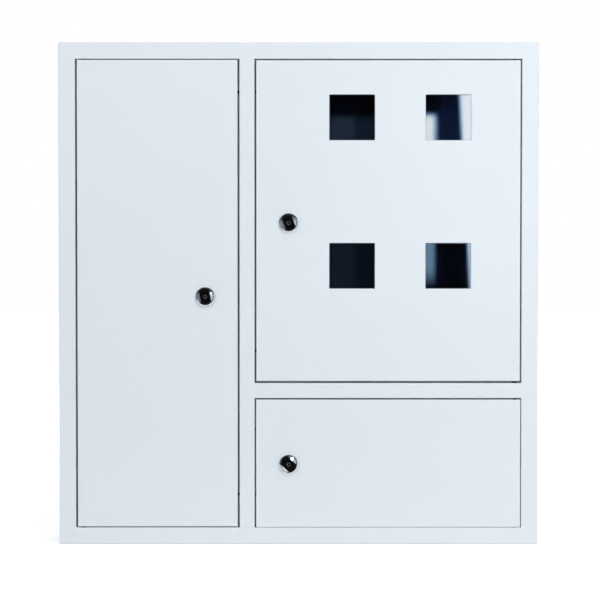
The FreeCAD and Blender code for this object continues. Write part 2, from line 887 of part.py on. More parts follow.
def build_windows():
    for number, (x, z) in enumerate(window_places(), start=1):
        pane = new_piece(f"window_pane_{number}")
        face = front_sketch(pane, DOOR_BACK - d.pane_thick)
        centred_rectangle(face, x, z, PANE_SIZE, PANE_SIZE)
        pad(pane, face, d.pane_thick)
        retainer = new_piece(f"window_retainer_{number}")
        flange = front_sketch(retainer, DOOR_BACK - d.retainer_sheet)
        centred_rectangle(flange, x, z, RETAINER_SIZE, RETAINER_SIZE)
        centred_rectangle(flange, x, z, POCKET_SIZE, POCKET_SIZE)
        for place_x, place_z in stud_places(x, z):
            circle(flange, place_x, place_z, d.stud_diameter + d.stud_clearance * 2)
        pad(retainer, flange, d.retainer_sheet)
        lip_back = DOOR_BACK - d.pane_thick - d.retainer_sheet
        step = front_sketch(retainer, lip_back)
        centred_rectangle(step, x, z, RETAINER_STEP, RETAINER_STEP)
        centred_rectangle(step, x, z, POCKET_SIZE, POCKET_SIZE)
        pad(retainer, step, d.pane_thick + d.retainer_sheet)
        lip = front_sketch(retainer, lip_back)
        centred_rectangle(lip, x, z, RETAINER_STEP, RETAINER_STEP)
        clear = PANE_SIZE - d.retainer_lip * 2
        centred_rectangle(lip, x, z, clear, clear)
        pad(retainer, lip, d.retainer_sheet)
    studs = new_piece("window_studs_and_nuts")
    shank = front_sketch(studs, DOOR_BACK - d.stud_length)
    nut = front_sketch(studs, DOOR_BACK - d.retainer_sheet - d.stud_nut_thick)
    for x, z in stud_places(*list(window_places())[METER_COLUMNS]):
        circle(shank, x, z, d.stud_diameter)
        hexagon(nut, x, z, d.stud_nut)
    features = [pad(studs, shank, d.stud_length), pad(studs, nut, d.stud_nut_thick)]
    repeat(studs, features, shank, d.window_pitch_across, METER_COLUMNS, WINDOW_PITCH_UP, METER_ROWS)


# Locks

LOCK_TOP = FRONT + d.lock_head_height
RIM_EDGE = LOCK_TOP - d.lock_rim_fall
RECESS_FLOOR = LOCK_TOP - d.lock_recess
CONE_TOP = RECESS_FLOOR + d.lock_cone
CAM_FRONT = LIP_BACK - d.cam_clearance
CAM_BACK = CAM_FRONT - d.cam_thick
BARREL_END = CAM_FRONT + d.insert_clearance
INSERT_FOOT = CONE_TOP + d.insert_clearance
CAM_LENGTH = d.lock_setback - d.lip_width + d.cam_engagement


def build_lock_housing(door):
    # a sloping rim about a shallow cone, on a threaded barrel with two flats
    body = new_piece(door.name + "_lock_housing")
    profile = sketch_on(body, "XY", door.lock_z, door.lock_x)
    bore = d.shaft_diameter / 2 + d.shaft_clearance
    recess = d.insert_diameter / 2 + d.insert_clearance
    head = d.lock_head / 2
    barrel = d.barrel_diameter / 2
    corners = [
        (bore, -BARREL_END),
        (bore, -CONE_TOP),
        (recess, -RECESS_FLOOR),
        (recess, -LOCK_TOP),
        (head, -RIM_EDGE),
        (head, -FRONT),
        (barrel, -FRONT),
        (barrel, -BARREL_END),
    ]
    polygon(profile, corners)
    revolve(body, profile)
    soften(body, "Fillet", d.lock_head_round, lambda edge: at_depth(edge, LOCK_TOP) or at_depth(edge, RIM_EDGE))
    flats = front_sketch(body, FRONT, door.lock_x, door.lock_z)
    for side in (-1, 1):
        middle = (d.barrel_flats + d.barrel_diameter) / 4 * side
        spare = (d.barrel_diameter - d.barrel_flats) / 2
        centred_rectangle(flats, middle + spare / 2 * side, 0, spare * 2, d.barrel_diameter)
    pocket(body, flats, FRONT - BARREL_END)


def build_lock_nut(door):
    body = new_piece(door.name + "_lock_nut")
    face = front_sketch(body, DOOR_BACK - d.lock_nut_thick, door.lock_x, door.lock_z)
    hexagon(face, 0, 0, d.lock_nut)
    circle(face, 0, 0, d.barrel_diameter + d.barrel_clearance * 2)
    pad(body, face, d.lock_nut_thick)


def build_lock_insert(door):
    body = new_piece(door.name + "_lock_insert")
    here = (door.lock_x, door.lock_z, door.lock_tilt)
    shaft = front_sketch(body, CAM_FRONT, *here)
    circle(shaft, 0, 0, d.shaft_diameter)
    pad(body, shaft, INSERT_FOOT + d.insert_clearance - CAM_FRONT)
    grip = front_sketch(body, INSERT_FOOT, *here)
    two_flats(grip, d.insert_diameter, d.insert_width)
    pad(body, grip, d.insert_rise)
    grip_top = INSERT_FOOT + d.insert_rise
    soften(body, "Chamfer", d.insert_bevel, lambda edge: at_depth(edge, grip_top))
    square = front_sketch(body, CAM_BACK + d.insert_clearance, *here)
    side = d.cam_square - d.shaft_clearance
    centred_rectangle(square, 0, 0, side, side)
    pad(body, square, CAM_FRONT - CAM_BACK)
    socket = front_sketch(body, grip_top, *here)
    circle(socket, 0, 0, d.socket_diameter)
    circle(socket, 0, 0, d.socket_pin)
    pocket(body, socket, d.socket_depth)
    wings = front_sketch(body, grip_top, *here)
    reach = (d.socket_wing - d.socket_pin) / 2
    for end in (-1, 1):
        centre = (d.socket_wing + d.socket_pin) / 4 * end
        centred_rectangle(wings, 0, centre, d.socket_wing_width, reach)
    pocket(body, wings, d.socket_depth)
    thread = front_sketch(body, CAM_BACK + d.insert_clearance, *here)
    circle(thread, 0, 0, d.cam_screw + d.screw_clearance * 2)
    pocket(body, thread, d.cam_screw_length, reverse=True)


def build_lock_cam(door):
    body = new_piece(door.name + "_lock_cam")
    face = front_sketch(body, CAM_BACK, door.lock_x, door.lock_z, door.lock_tilt + door.cam_turn)
    hub = d.cam_width / 2
    slot(face, 0, (CAM_LENGTH - hub) / 2, CAM_LENGTH + hub, d.cam_width, upright=True)
    side = d.cam_square + d.shaft_clearance
    centred_rectangle(face, 0, 0, side, side)
    pad(body, face, d.cam_thick)


def build_lock_screw(door):
    body = new_piece(door.name + "_lock_screw")
    top = CAM_BACK - d.cam_screw_head_height
    head = front_sketch(body, top, door.lock_x, door.lock_z, door.lock_tilt)
    hexagon(head, 0, 0, d.cam_screw_head)
    pad(body, head, d.cam_screw_head_height)
    shank = front_sketch(body, CAM_BACK, door.lock_x, door.lock_z)
    circle(shank, 0, 0, d.cam_screw)
    pad(body, shank, d.cam_screw_length - d.insert_clearance)


# Meter compartment

PANEL_WIDTH = (METER.right - d.panel_side_gap - WINDOWS_MIDDLE) * 2
PANEL_TOP = METER.top - d.panel_drop
PANEL_BOTTOM = METER.bottom + d.panel_end_gap
PANEL_BACK = d.panel_stand
PANEL_FRONT = d.panel_stand + d.panel_sheet
SCREW_HOLE = d.screw_diameter + d.screw_clearance * 2
UPPER_BRACKET = PANEL_TOP - d.bracket_inset
LOWER_BRACKET = PANEL_BOTTOM + d.bracket_inset
BRACKET_LENGTH = PANEL_WIDTH - d.bracket_end_gap * 2
BRACKET_SCREWS = BRACKET_LENGTH / 2 - d.bracket_flange
METER_RAIL_LENGTH = PANEL_WIDTH - d.meter_rail_end_gap * 2
METER_RAIL_SCREWS = METER_RAIL_LENGTH / 2 - d.meter_rail_fixing_inset


def panel_screw_places():
    for level in (UPPER_BRACKET, LOWER_BRACKET):
        for side in (-1, 1):
            yield WINDOWS_MIDDLE + BRACKET_SCREWS * side, level


def meter_rail_levels():
    for row in range(METER_ROWS):
        yield WINDOWS_TOP - WINDOW_PITCH_UP * row - d.meter_rail_drop


def rail_screw_places():
    for level in meter_rail_levels():
        for side in (-1, 1):
            yield WINDOWS_MIDDLE + METER_RAIL_SCREWS * side, level


def build_meter_panel():
    body = new_piece("meter_panel")
    section = sketch_on(body, "XY", PANEL_BOTTOM)
    half = PANEL_WIDTH / 2
    rear = PANEL_FRONT - d.panel_flange
    right = [
        (half - d.panel_sheet, -PANEL_BACK),
        (half - d.panel_sheet, -rear),
        (half, -rear),
        (half, -PANEL_FRONT),
    ]
    outline = right + [(-x, y) for x, y in reversed(right)]
    polygon(section, [(WINDOWS_MIDDLE + x, y) for x, y in outline])
    pad(body, section, PANEL_TOP - PANEL_BOTTOM)
    holes = front_sketch(body, PANEL_FRONT)
    for x, z in (*panel_screw_places(), *rail_screw_places()):
        circle(holes, x, z, SCREW_HOLE)
    pocket(body, holes, d.panel_sheet)
    slots = front_sketch(body, PANEL_FRONT)
    x, z = list(window_places())[METER_COLUMNS]
    slot(slots, x, z + d.meter_slot_rise, d.meter_slot_length, d.meter_slot_width, upright=True)
    for side in (-1, 1):
        spread = d.meter_slot_spread / 2 * side
        slot(slots, x + spread, z - d.meter_slot_drop, d.meter_slot_length, d.meter_slot_width)
    first = pocket(body, slots, d.panel_sheet)
    repeat(body, [first], slots, d.window_pitch_across, METER_COLUMNS, WINDOW_PITCH_UP, METER_ROWS)


def build_panel_bracket(label, level):
    # Z section between the back panel and the meter panel
    body = new_piece(label)
    left = WINDOWS_MIDDLE - BRACKET_LENGTH / 2
    section = sketch_on(body, "YZ", left)
    sheet = d.bracket_sheet
    half = d.bracket_flange / 2
    corners = [
        (-FLOOR, level - half - d.bracket_flange + sheet),
        (-FLOOR, level - half + sheet),
        (sheet - PANEL_BACK, level - half + sheet),
        (sheet - PANEL_BACK, level + half),
        (-PANEL_BACK, level + half),
        (-PANEL_BACK, level - half),
        (-FLOOR - sheet, level - half),
        (-FLOOR - sheet, level - half - d.bracket_flange + sheet),
    ]
    polygon(section, corners)
    pad(body, section, BRACKET_LENGTH)
    holes = front_sketch(body, PANEL_BACK)
    for side in (-1, 1):
        circle(holes, WINDOWS_MIDDLE + BRACKET_SCREWS * side, level, SCREW_HOLE)
    pocket(body, holes, sheet)


def build_rail(label, middle, level, seat, length, fixing):
    # top-hat rail on its channel's back, with a row of slots and two fixing holes
    body = new_piece(label)
    section = sketch_on(body, "YZ", middle - length / 2)
    sheet = d.rail_sheet
    half = d.rail_channel / 2
    brim = d.rail_height / 2
    front = seat + d.rail_depth
    upper = [
        (half, -seat),
        (half, sheet - front),
        (brim, sheet - front),
        (brim, -front),
        (half - sheet, -front),
        (half - sheet, -seat - sheet),
    ]
    outline = [(depth, level + z) for z, depth in upper]
    outline += [(depth, level - z) for z, depth in reversed(upper)]
    polygon(section, outline)
    pad(body, section, length)
    holes = front_sketch(body, seat + sheet)
    for side in (-1, 1):
        circle(holes, middle + fixing * side, level, SCREW_HOLE)
    pocket(body, holes, sheet)
    row = front_sketch(body, seat + sheet)
    slots = copies(length - d.rail_slot_length - d.rail_slot_margin * 2, d.rail_slot_pitch)
    first_slot = middle + d.rail_slot_pitch * spread(slots)[0]
    slot(row, first_slot, level, d.rail_slot_length, d.rail_slot_width)
    first = pocket(body, row, sheet)
    repeat(body, [first], row, d.rail_slot_pitch, slots)


# Breaker compartment

COVER_WIDTH = BREAKER.across - d.cover_side_gap * 2
COVER_HEIGHT = BREAKER.up - d.cover_end_gap * 2
BREAKER_RAIL_LENGTH = COVER_WIDTH - d.breaker_rail_end_gap * 2
BREAKER_BRACKETS = BREAKER_RAIL_LENGTH / 2 - d.breaker_bracket_inset
COVER_BACK = d.cover_stand
COVER_FRONT = d.cover_stand + d.cover_sheet
STRIP_ROOM = (COVER_WIDTH - d.cover_slot_margin * 2) / BLANK_STRIPS
MODULES_PER_STRIP = copies(STRIP_ROOM - d.module_pitch, d.module_pitch)
BLANK_LENGTH = d.module_pitch * MODULES_PER_STRIP
COVER_SLOT = BLANK_LENGTH * BLANK_STRIPS + d.blank_clearance * 2
NEUTRAL_LEVEL = BREAKER.centre + d.bar_offset
EARTH_LEVEL = BREAKER.centre - d.bar_offset
BAR_SUPPORTS = d.bar_length / 2 - d.bar_support_inset
BAR_BACK = FLOOR + d.bar_stand
BAR_FRONT = BAR_BACK + d.bar_depth


def build_breaker_bracket(label, side):
    # Z section that carries one end of the breaker rail
    body = new_piece(label)
    section = sketch_on(body, "XY", BREAKER.centre - d.breaker_bracket_height / 2)
    middle = BREAKER.middle + BREAKER_BRACKETS * side
    sheet = d.bracket_sheet
    half = d.bracket_flange / 2
    corners = [
        (half + d.bracket_flange - sheet, -FLOOR),
        (half - sheet, -FLOOR),
        (half - sheet, sheet - d.breaker_stand),
        (-half, sheet - d.breaker_stand),
        (-half, -d.breaker_stand),
        (half, -d.breaker_stand),
        (half, -FLOOR - sheet),
        (half + d.bracket_flange - sheet, -FLOOR - sheet),
    ]
    polygon(section, [(middle + x * -side, y) for x, y in corners])
    pad(body, section, d.breaker_bracket_height)
    hole = front_sketch(body, d.breaker_stand)
    circle(hole, middle, BREAKER.centre, SCREW_HOLE)
    pocket(body, hole, sheet)


def post_places():
    for across in (-1, 1):
        for up in (-1, 1):
            x = (COVER_WIDTH / 2 - d.cover_post_side_inset) * across
            z = (COVER_HEIGHT / 2 - d.cover_post_end_inset) * up
            yield BREAKER.middle + x, BREAKER.centre + z


def build_breaker_cover():
    body = new_piece("breaker_cover")
    face = front_sketch(body, COVER_BACK)
    centred_rectangle(face, BREAKER.middle, BREAKER.centre, COVER_WIDTH, COVER_HEIGHT)
    centred_rectangle(face, BREAKER.middle, BREAKER.centre, COVER_SLOT, d.cover_slot_height)
    for x, z in post_places():
        circle(face, x, z, d.thumb_screw + d.cover_hole_clearance * 2)
    pad(body, face, d.cover_sheet)
    fold = front_sketch(body, COVER_FRONT - d.cover_fold)
    centred_rectangle(fold, BREAKER.middle, BREAKER.centre, COVER_WIDTH, COVER_HEIGHT)
    inside = d.cover_sheet * 2
    centred_rectangle(fold, BREAKER.middle, BREAKER.centre, COVER_WIDTH - inside, COVER_HEIGHT - inside)
    pad(body, fold, d.cover_fold)


def build_cover_posts():
    posts = new_piece("cover_posts")
    face = front_sketch(posts, FLOOR)
    holes = front_sketch(posts, COVER_BACK)
    screws = new_piece("cover_screws")
    shank = front_sketch(screws, COVER_FRONT - d.thumb_screw_length)
    head = front_sketch(screws, COVER_FRONT)
    for x, z in post_places():
        hexagon(face, x, z, d.cover_post)
        circle(holes, x, z, d.thumb_screw + d.screw_clearance * 2)
        circle(shank, x, z, d.thumb_screw)
        circle(head, x, z, d.thumb_head)
    pad(posts, face, COVER_BACK - FLOOR)
    pocket(posts, holes, d.thumb_screw_length)
    pad(screws, shank, d.thumb_screw_length)
    pad(screws, head, d.thumb_head_height)
    top = COVER_FRONT + d.thumb_head_height
    soften(screws, "Chamfer", d.screw_head_bevel, lambda edge: at_depth(edge, top))


def build_blank_strips():
    # T-section strips that close the cover's slot, grooved so that single modules snap out
    body = new_piece("blank_strips")
    start = BREAKER.middle - BLANK_LENGTH * BLANK_STRIPS / 2
    height = d.cover_slot_height / 2 - d.blank_clearance
    brim = height + d.blank_clearance + d.blank_lap
    front = COVER_FRONT + d.blank_sheet
    upper = [
        (-front + d.blank_depth, height),
        (-COVER_FRONT, height),
        (-COVER_FRONT, brim),
        (-front, brim),
    ]
    outline = [(y, BREAKER.centre + z) for y, z in upper]
    outline += [(y, BREAKER.centre - z) for y, z in reversed(upper)]
    for strip in range(BLANK_STRIPS):
        section = sketch_on(body, "YZ", start + BLANK_LENGTH * strip + d.blank_clearance / 2)
        polygon(section, outline)
        pad(body, section, BLANK_LENGTH - d.blank_clearance)
    groove = front_sketch(body, front)
    centred_rectangle(groove, start + d.module_pitch, BREAKER.centre, d.module_groove, height * 2)
    first = pocket(body, groove, d.module_groove_depth)
    repeat(body, [first], groove, d.module_pitch, MODULES_PER_STRIP * BLANK_STRIPS - 1)


BAR_HOLES = copies(d.bar_length - d.bar_hole_margin * 2, d.bar_hole_pitch)
FIRST_BAR_HOLE = BREAKER.middle + d.bar_hole_pitch * spread(BAR_HOLES)[0]


def build_bar(label, level):
    body = new_piece(label)
    face = front_sketch(body, BAR_BACK)
    centred_rectangle(face, BREAKER.middle, level, d.bar_length, d.bar_height)
    for side in (-1, 1):
        circle(face, BREAKER.middle + BAR_SUPPORTS * side, level, SCREW_HOLE)
    pad(body, face, d.bar_depth)
    wire = sketch_on(body, "XY", level + d.bar_height / 2)
    circle(wire, FIRST_BAR_HOLE, -(BAR_BACK + BAR_FRONT) / 2, d.bar_wire_hole)
    screw = front_sketch(body, BAR_FRONT)
    circle(screw, FIRST_BAR_HOLE, level, d.bar_screw + d.screw_clearance * 2)
    features = [pocket(body, wire, d.bar_height), pocket(body, screw, d.bar_depth / 2)]
    repeat(body, features, screw, d.bar_hole_pitch, BAR_HOLES)


def build_bar_supports():
    insulators = new_piece("neutral_bar_insulators")
    supports = new_piece("earth_bar_supports")
    posts = front_sketch(supports, FLOOR)
    taps = front_sketch(supports, BAR_BACK)
    grip = d.screw_grip + d.bracket_sheet
    for side in (-1, 1):
        x = BREAKER.middle + BAR_SUPPORTS * side
        profile = sketch_on(insulators, "XY", NEUTRAL_LEVEL, x)
        rim = d.insulator_diameter / 2
        waist = d.insulator_waist / 2
        bore = SCREW_HOLE / 2
        taper = rim - waist
        corners = [
            (ZERO, -FLOOR),
            (rim, -FLOOR),
            (rim, -FLOOR - taper),
            (waist, -FLOOR - taper * 2),
            (waist, taper * 2 - BAR_BACK),
            (rim, taper - BAR_BACK),
            (rim, -BAR_BACK),
            (bore, -BAR_BACK),
            (bore, grip - BAR_BACK),
            (ZERO, grip - BAR_BACK),
        ]
        polygon(profile, corners)
        revolve(insulators, profile)
        hexagon(posts, x, EARTH_LEVEL, d.support_post)
        circle(taps, x, EARTH_LEVEL, SCREW_HOLE)
    pad(supports, posts, BAR_BACK - FLOOR)
    pocket(supports, taps, grip)


def build_terminal_screws():
    body = new_piece("terminal_screws")
    head = front_sketch(body, BAR_FRONT)
    circle(head, FIRST_BAR_HOLE, EARTH_LEVEL, d.bar_screw_head)
    shank = front_sketch(body, BAR_FRONT)
    circle(shank, FIRST_BAR_HOLE, EARTH_LEVEL, d.bar_screw)
    features = [pad(body, head, d.bar_screw_head_height)]
    features.append(pad(body, shank, d.bar_depth / 2, reverse=True))
    repeat(body, features, head, d.bar_hole_pitch, BAR_HOLES, d.bar_offset * 2, 2)
    fixing_heads = front_sketch(body, BAR_FRONT)
    fixings = front_sketch(body, BAR_FRONT)
    for level in (NEUTRAL_LEVEL, EARTH_LEVEL):
        for side in (-1, 1):
            circle(fixing_heads, BREAKER.middle + BAR_SUPPORTS * side, level, d.bar_screw_head)
            circle(fixings, BREAKER.middle + BAR_SUPPORTS * side, level, d.screw_diameter)
    pad(body, fixing_heads, d.bar_screw_head_height)
    pad(body, fixings, d.bar_depth + d.screw_grip, reverse=True)


# Signal compartment, earthing and the small screws

PLATE_BACK = FLOOR + d.plate_stand
PLATE_FRONT = PLATE_BACK + d.plate_sheet
PLATE_WIDTH = LEFT.across - d.plate_side_gap * 2
PLATE_HEIGHT = LEFT.up - d.plate_end_gap * 2


def plate_fixings():
    for across in (-1, 1):
        for up in (-1, 1):
            x = LEFT.middle + (PLATE_WIDTH / 2 - d.plate_fixing_inset) * across
            yield x, LEFT.centre + (PLATE_HEIGHT / 2 - d.plate_fixing_inset) * up


def build_signal_plate():
    body = new_piece("signal_plate")
    face = front_sketch(body, PLATE_BACK)
    centred_rectangle(face, LEFT.middle, LEFT.centre, PLATE_WIDTH, PLATE_HEIGHT)
    for x, z in plate_fixings():
        circle(face, x, z, SCREW_HOLE)
    pad(body, face, d.plate_sheet)
    perforation = front_sketch(body, PLATE_FRONT)
    room_across = PLATE_WIDTH - d.plate_slot_length - d.plate_slot_side_margin * 2
    room_up = PLATE_HEIGHT - d.plate_slot_width - d.plate_slot_end_margin * 2
    columns = copies(room_across, d.plate_slot_pitch)
    rows = copies(room_up, d.plate_row_pitch)
    x = LEFT.middle + d.plate_slot_pitch * spread(columns)[0]
    z = LEFT.centre + d.plate_row_pitch * spread(rows)[0]
    centred_rectangle(perforation, x, z, d.plate_slot_length, d.plate_slot_width)
    first = pocket(body, perforation, d.plate_sheet)
    repeat(body, [first], perforation, d.plate_slot_pitch, columns, d.plate_row_pitch, rows)
    fold = front_sketch(body, PLATE_FRONT - d.plate_fold)
    for side in (-1, 1):
        edge = LEFT.middle + (PLATE_WIDTH / 2 - d.plate_sheet / 2) * side
        centred_rectangle(fold, edge, LEFT.centre, d.plate_sheet, PLATE_HEIGHT)
    pad(body, fold, d.plate_fold)
    posts = new_piece("signal_plate_posts")
    stems = front_sketch(posts, FLOOR)
    taps = front_sketch(posts, PLATE_BACK)
    for x, z in plate_fixings():
        circle(stems, x, z, d.support_post)
        circle(taps, x, z, SCREW_HOLE)
    pad(posts, stems, d.plate_stand)
    pocket(posts, taps, d.plate_stand - d.shell_sheet)


def build_fixing_screws():
    body = new_piece("fixing_screws")
    seats = (
        (PANEL_FRONT, tuple(panel_screw_places())),
        (PANEL_FRONT + d.rail_sheet, tuple(rail_screw_places())),
        (
            d.breaker_stand + d.rail_sheet,
            tuple((BREAKER.middle + BREAKER_BRACKETS * side, BREAKER.centre) for side in (-1, 1)),
        ),
        (PLATE_FRONT, tuple(plate_fixings())),
    )
    for seat, places in seats:
        heads = front_sketch(body, seat)
        shanks = front_sketch(body, seat)
        for x, z in places:
            circle(heads, x, z, d.screw_head)
            circle(shanks, x, z, d.screw_diameter)
        pad(body, heads, d.screw_head_height)
        pad(body, shanks, d.panel_sheet + d.screw_grip, reverse=True)
    tops = [(seat + d.screw_head_height) for seat, places in seats]
    soften(body, "Chamfer", d.screw_head_bevel, lambda edge: any(at_depth(edge, top) for top in tops))


def build_earth_terminal():
    body = new_piece("earth_terminal")
    x = LEFT.right - d.earth_stud_inset
    z = LEFT.bottom + d.earth_stud_inset
    stud = front_sketch(body, FLOOR)
    circle(stud, x, z, d.earth_stud)
    pad(body, stud, d.earth_stud_length)
    bore = d.earth_stud + d.screw_clearance * 2
    stack = FLOOR
    for across, thick, shape in (
        (d.earth_washer, d.earth_washer_thick, circle),
        (d.earth_nut, d.earth_nut_thick, hexagon),
        (d.earth_washer, d.earth_washer_thick, circle),
        (d.earth_nut, d.earth_nut_thick, hexagon),
    ):
        ring = front_sketch(body, stack)
        shape(ring, x, z, across)
        circle(ring, x, z, bore)
        pad(body, ring, thick)
        stack = stack + thick


def build_all():
    build_back_panel()
    build_side_wall("left_wall", -1)
    build_side_wall("right_wall", 1)
    build_end_wall("top_wall", 1)
    build_end_wall("bottom_wall", -1)
    build_front_frame()
    build_compartment_divider()
    build_shelf_divider()
    for door in DOORS:
        build_door(door)
        build_lock_housing(door)
        build_lock_nut(door)
        build_lock_insert(door)
        build_lock_cam(door)
        build_lock_screw(door)
    build_left_door_stiffener()
    build_windows()
    build_pivots()
    build_buffers()
    build_meter_panel()
    build_panel_bracket("panel_bracket_upper", UPPER_BRACKET)
    build_panel_bracket("panel_bracket_lower", LOWER_BRACKET)
    for label, level in zip(("meter_rail_upper", "meter_rail_lower"), meter_rail_levels()):
        build_rail(label, WINDOWS_MIDDLE, level, PANEL_FRONT, METER_RAIL_LENGTH, METER_RAIL_SCREWS)
    build_breaker_bracket("breaker_bracket_left", -1)
    build_breaker_bracket("breaker_bracket_right", 1)
    build_rail(
        "breaker_rail",
        BREAKER.middle,
        BREAKER.centre,
        d.breaker_stand,
        BREAKER_RAIL_LENGTH,
        BREAKER_BRACKETS,
    )
    build_breaker_cover()
    build_cover_posts()
    build_blank_strips()
    build_bar("neutral_bar", NEUTRAL_LEVEL)
    build_bar("earth_bar", EARTH_LEVEL)
    build_bar_supports()
    build_terminal_screws()
    build_signal_plate()
    build_fixing_screws()
    build_earth_terminal()


def write_parts():
    doc.recompute()
    for item in doc.Objects:
        if "Invalid" in item.State or "Error" in item.State:
            raise RuntimeError(f"{item.Label} failed: {item.State}")
    for body in pieces:
        if body.Shape.isNull() or not body.Shape.isValid() or not body.Shape.Solids:
            raise RuntimeError(f"{body.Label} has no valid solid")
    os.makedirs("parts", exist_ok=True)
    for body in pieces:
        body.Shape.exportStep(os.path.join("parts", body.Label + ".step"))
    print(len(pieces), "pieces written")


build_all()
write_parts()
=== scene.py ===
import bpy
import bmesh
import json
import math
from mathutils import Matrix, Vector


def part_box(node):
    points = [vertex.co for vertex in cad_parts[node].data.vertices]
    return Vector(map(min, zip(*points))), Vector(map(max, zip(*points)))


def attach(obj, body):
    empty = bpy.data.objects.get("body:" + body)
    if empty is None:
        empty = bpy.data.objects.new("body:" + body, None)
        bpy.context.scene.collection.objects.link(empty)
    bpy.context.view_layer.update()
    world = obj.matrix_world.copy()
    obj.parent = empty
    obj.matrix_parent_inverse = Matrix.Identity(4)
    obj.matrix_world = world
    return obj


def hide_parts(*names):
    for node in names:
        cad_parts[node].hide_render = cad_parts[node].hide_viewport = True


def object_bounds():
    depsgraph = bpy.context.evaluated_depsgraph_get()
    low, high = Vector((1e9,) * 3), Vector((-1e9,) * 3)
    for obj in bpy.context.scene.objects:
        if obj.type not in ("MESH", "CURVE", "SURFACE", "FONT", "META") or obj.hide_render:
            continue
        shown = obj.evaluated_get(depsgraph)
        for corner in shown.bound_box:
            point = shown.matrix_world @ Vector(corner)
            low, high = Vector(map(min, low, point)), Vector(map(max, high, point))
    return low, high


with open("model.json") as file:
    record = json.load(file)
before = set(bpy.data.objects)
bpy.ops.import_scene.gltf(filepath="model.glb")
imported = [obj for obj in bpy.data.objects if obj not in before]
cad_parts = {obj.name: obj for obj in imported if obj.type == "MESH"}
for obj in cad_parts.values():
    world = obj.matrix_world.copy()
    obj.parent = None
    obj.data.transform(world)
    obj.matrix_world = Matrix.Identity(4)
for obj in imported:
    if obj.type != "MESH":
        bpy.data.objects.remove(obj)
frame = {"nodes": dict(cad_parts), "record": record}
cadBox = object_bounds()
nodes = frame["nodes"]
record = frame["record"]
bodyOf = {node: body for body, members in record["behaviour"]["bodies"].items() for node in members}
slotOf = {row["node"]: row["material_slot"] for row in record["subparts"]}


# small helpers for node trees

def newMaterial(name):
    material = bpy.data.materials.new(name)
    material.use_nodes = True
    tree = material.node_tree
    return material, tree, tree.nodes["Principled BSDF"]


def addNode(tree, kind, settings=None, inputs=None):
    node = tree.nodes.new(kind)
    for key, value in (settings or {}).items():
        setattr(node, key, value)
    for key, value in (inputs or {}).items():
        if isinstance(value, bpy.types.NodeSocket):
            tree.links.new(value, node.inputs[key])
        else:
            node.inputs[key].default_value = value
    return node


def objectPoint(tree, stretch=(1, 1, 1)):
    place = addNode(tree, "ShaderNodeTexCoord").outputs["Object"]
    mapping = addNode(tree, "ShaderNodeMapping", inputs={"Vector": place, "Scale": stretch})
    return mapping.outputs["Vector"]


def noise(tree, point, scale, detail=3.0, roughness=0.5):
    values = {"Vector": point, "Scale": scale, "Detail": detail, "Roughness": roughness}
    return addNode(tree, "ShaderNodeTexNoise", inputs=values).outputs["Fac"]


def between(tree, fac, low, high, fromLow=0.3, fromHigh=0.7):
    values = {"Value": fac, "From Min": fromLow, "From Max": fromHigh, "To Min": low, "To Max": high}
    return addNode(tree, "ShaderNodeMapRange", inputs=values).outputs["Result"]


def reckon(tree, operation, first, second=0.0):
    return addNode(tree, "ShaderNodeMath", {"operation": operation}, {0: first, 1: second}).outputs["Value"]


def blendColour(tree, fac, first, second):
    node = addNode(tree, "ShaderNodeMix", {"data_type": "RGBA"})
    tree.links.new(fac, node.inputs[0])
    node.inputs[6].default_value = first
    node.inputs[7].default_value = second
    return node.outputs[2]


def bumpFrom(tree, shader, height, depth, strength=1.0):
    values = {"Height": height, "Distance": depth, "Strength": strength}
    bump = addNode(tree, "ShaderNodeBump", inputs=values)
    tree.links.new(bump.outputs["Normal"], shader.inputs["Normal"])


# finishes

powderCoat = {
    "light": (0.762, 0.805, 0.848, 1),
    "dark": (0.733, 0.777, 0.823, 1),
    "driftScale": 3.0,
    "peelScale": 520.0,
    "peelDepth": 0.00006,
    "peelStrength": 0.35,
    "roughness": (0.36, 0.46),
}


def powderCoatFinish(name, settings):
    material, tree, shader = newMaterial(name)
    point = objectPoint(tree)
    drift = noise(tree, point, settings["driftScale"], 2.0)
    tint = blendColour(tree, drift, settings["dark"], settings["light"])
    tree.links.new(tint, shader.inputs["Base Color"])
    peel = noise(tree, point, settings["peelScale"], 2.0)
    tree.links.new(between(tree, peel, *settings["roughness"]), shader.inputs["Roughness"])
    bumpFrom(tree, shader, peel, settings["peelDepth"], settings["peelStrength"])
    return material


zincPlate = {
    "light": (0.70, 0.71, 0.72, 1),
    "dark": (0.52, 0.53, 0.55, 1),
    "cloudScale": 30.0,
    "grain": (6.0, 60.0, 60.0),  # long streaks along X
    "grainScale": 12.0,
    "grainDepth": 0.00002,
    "grainStrength": 0.4,
    "roughness": (0.26, 0.44),
}


def zincFinish(name, settings):
    material, tree, shader = newMaterial(name)
    shader.inputs["Metallic"].default_value = 1.0
    streaks = noise(tree, objectPoint(tree, settings["grain"]), settings["grainScale"], 4.0)
    cloud = noise(tree, objectPoint(tree), settings["cloudScale"])
    tint = blendColour(tree, cloud, settings["dark"], settings["light"])
    tree.links.new(tint, shader.inputs["Base Color"])
    tree.links.new(between(tree, streaks, *settings["roughness"]), shader.inputs["Roughness"])
    bumpFrom(tree, shader, streaks, settings["grainDepth"], settings["grainStrength"])
    return material


galvanisedSheet = {
    "light": (0.66, 0.68, 0.70, 1),
    "dark": (0.53, 0.55, 0.57, 1),
    "spangle": 110.0,
    "roughness": (0.34, 0.50),
}


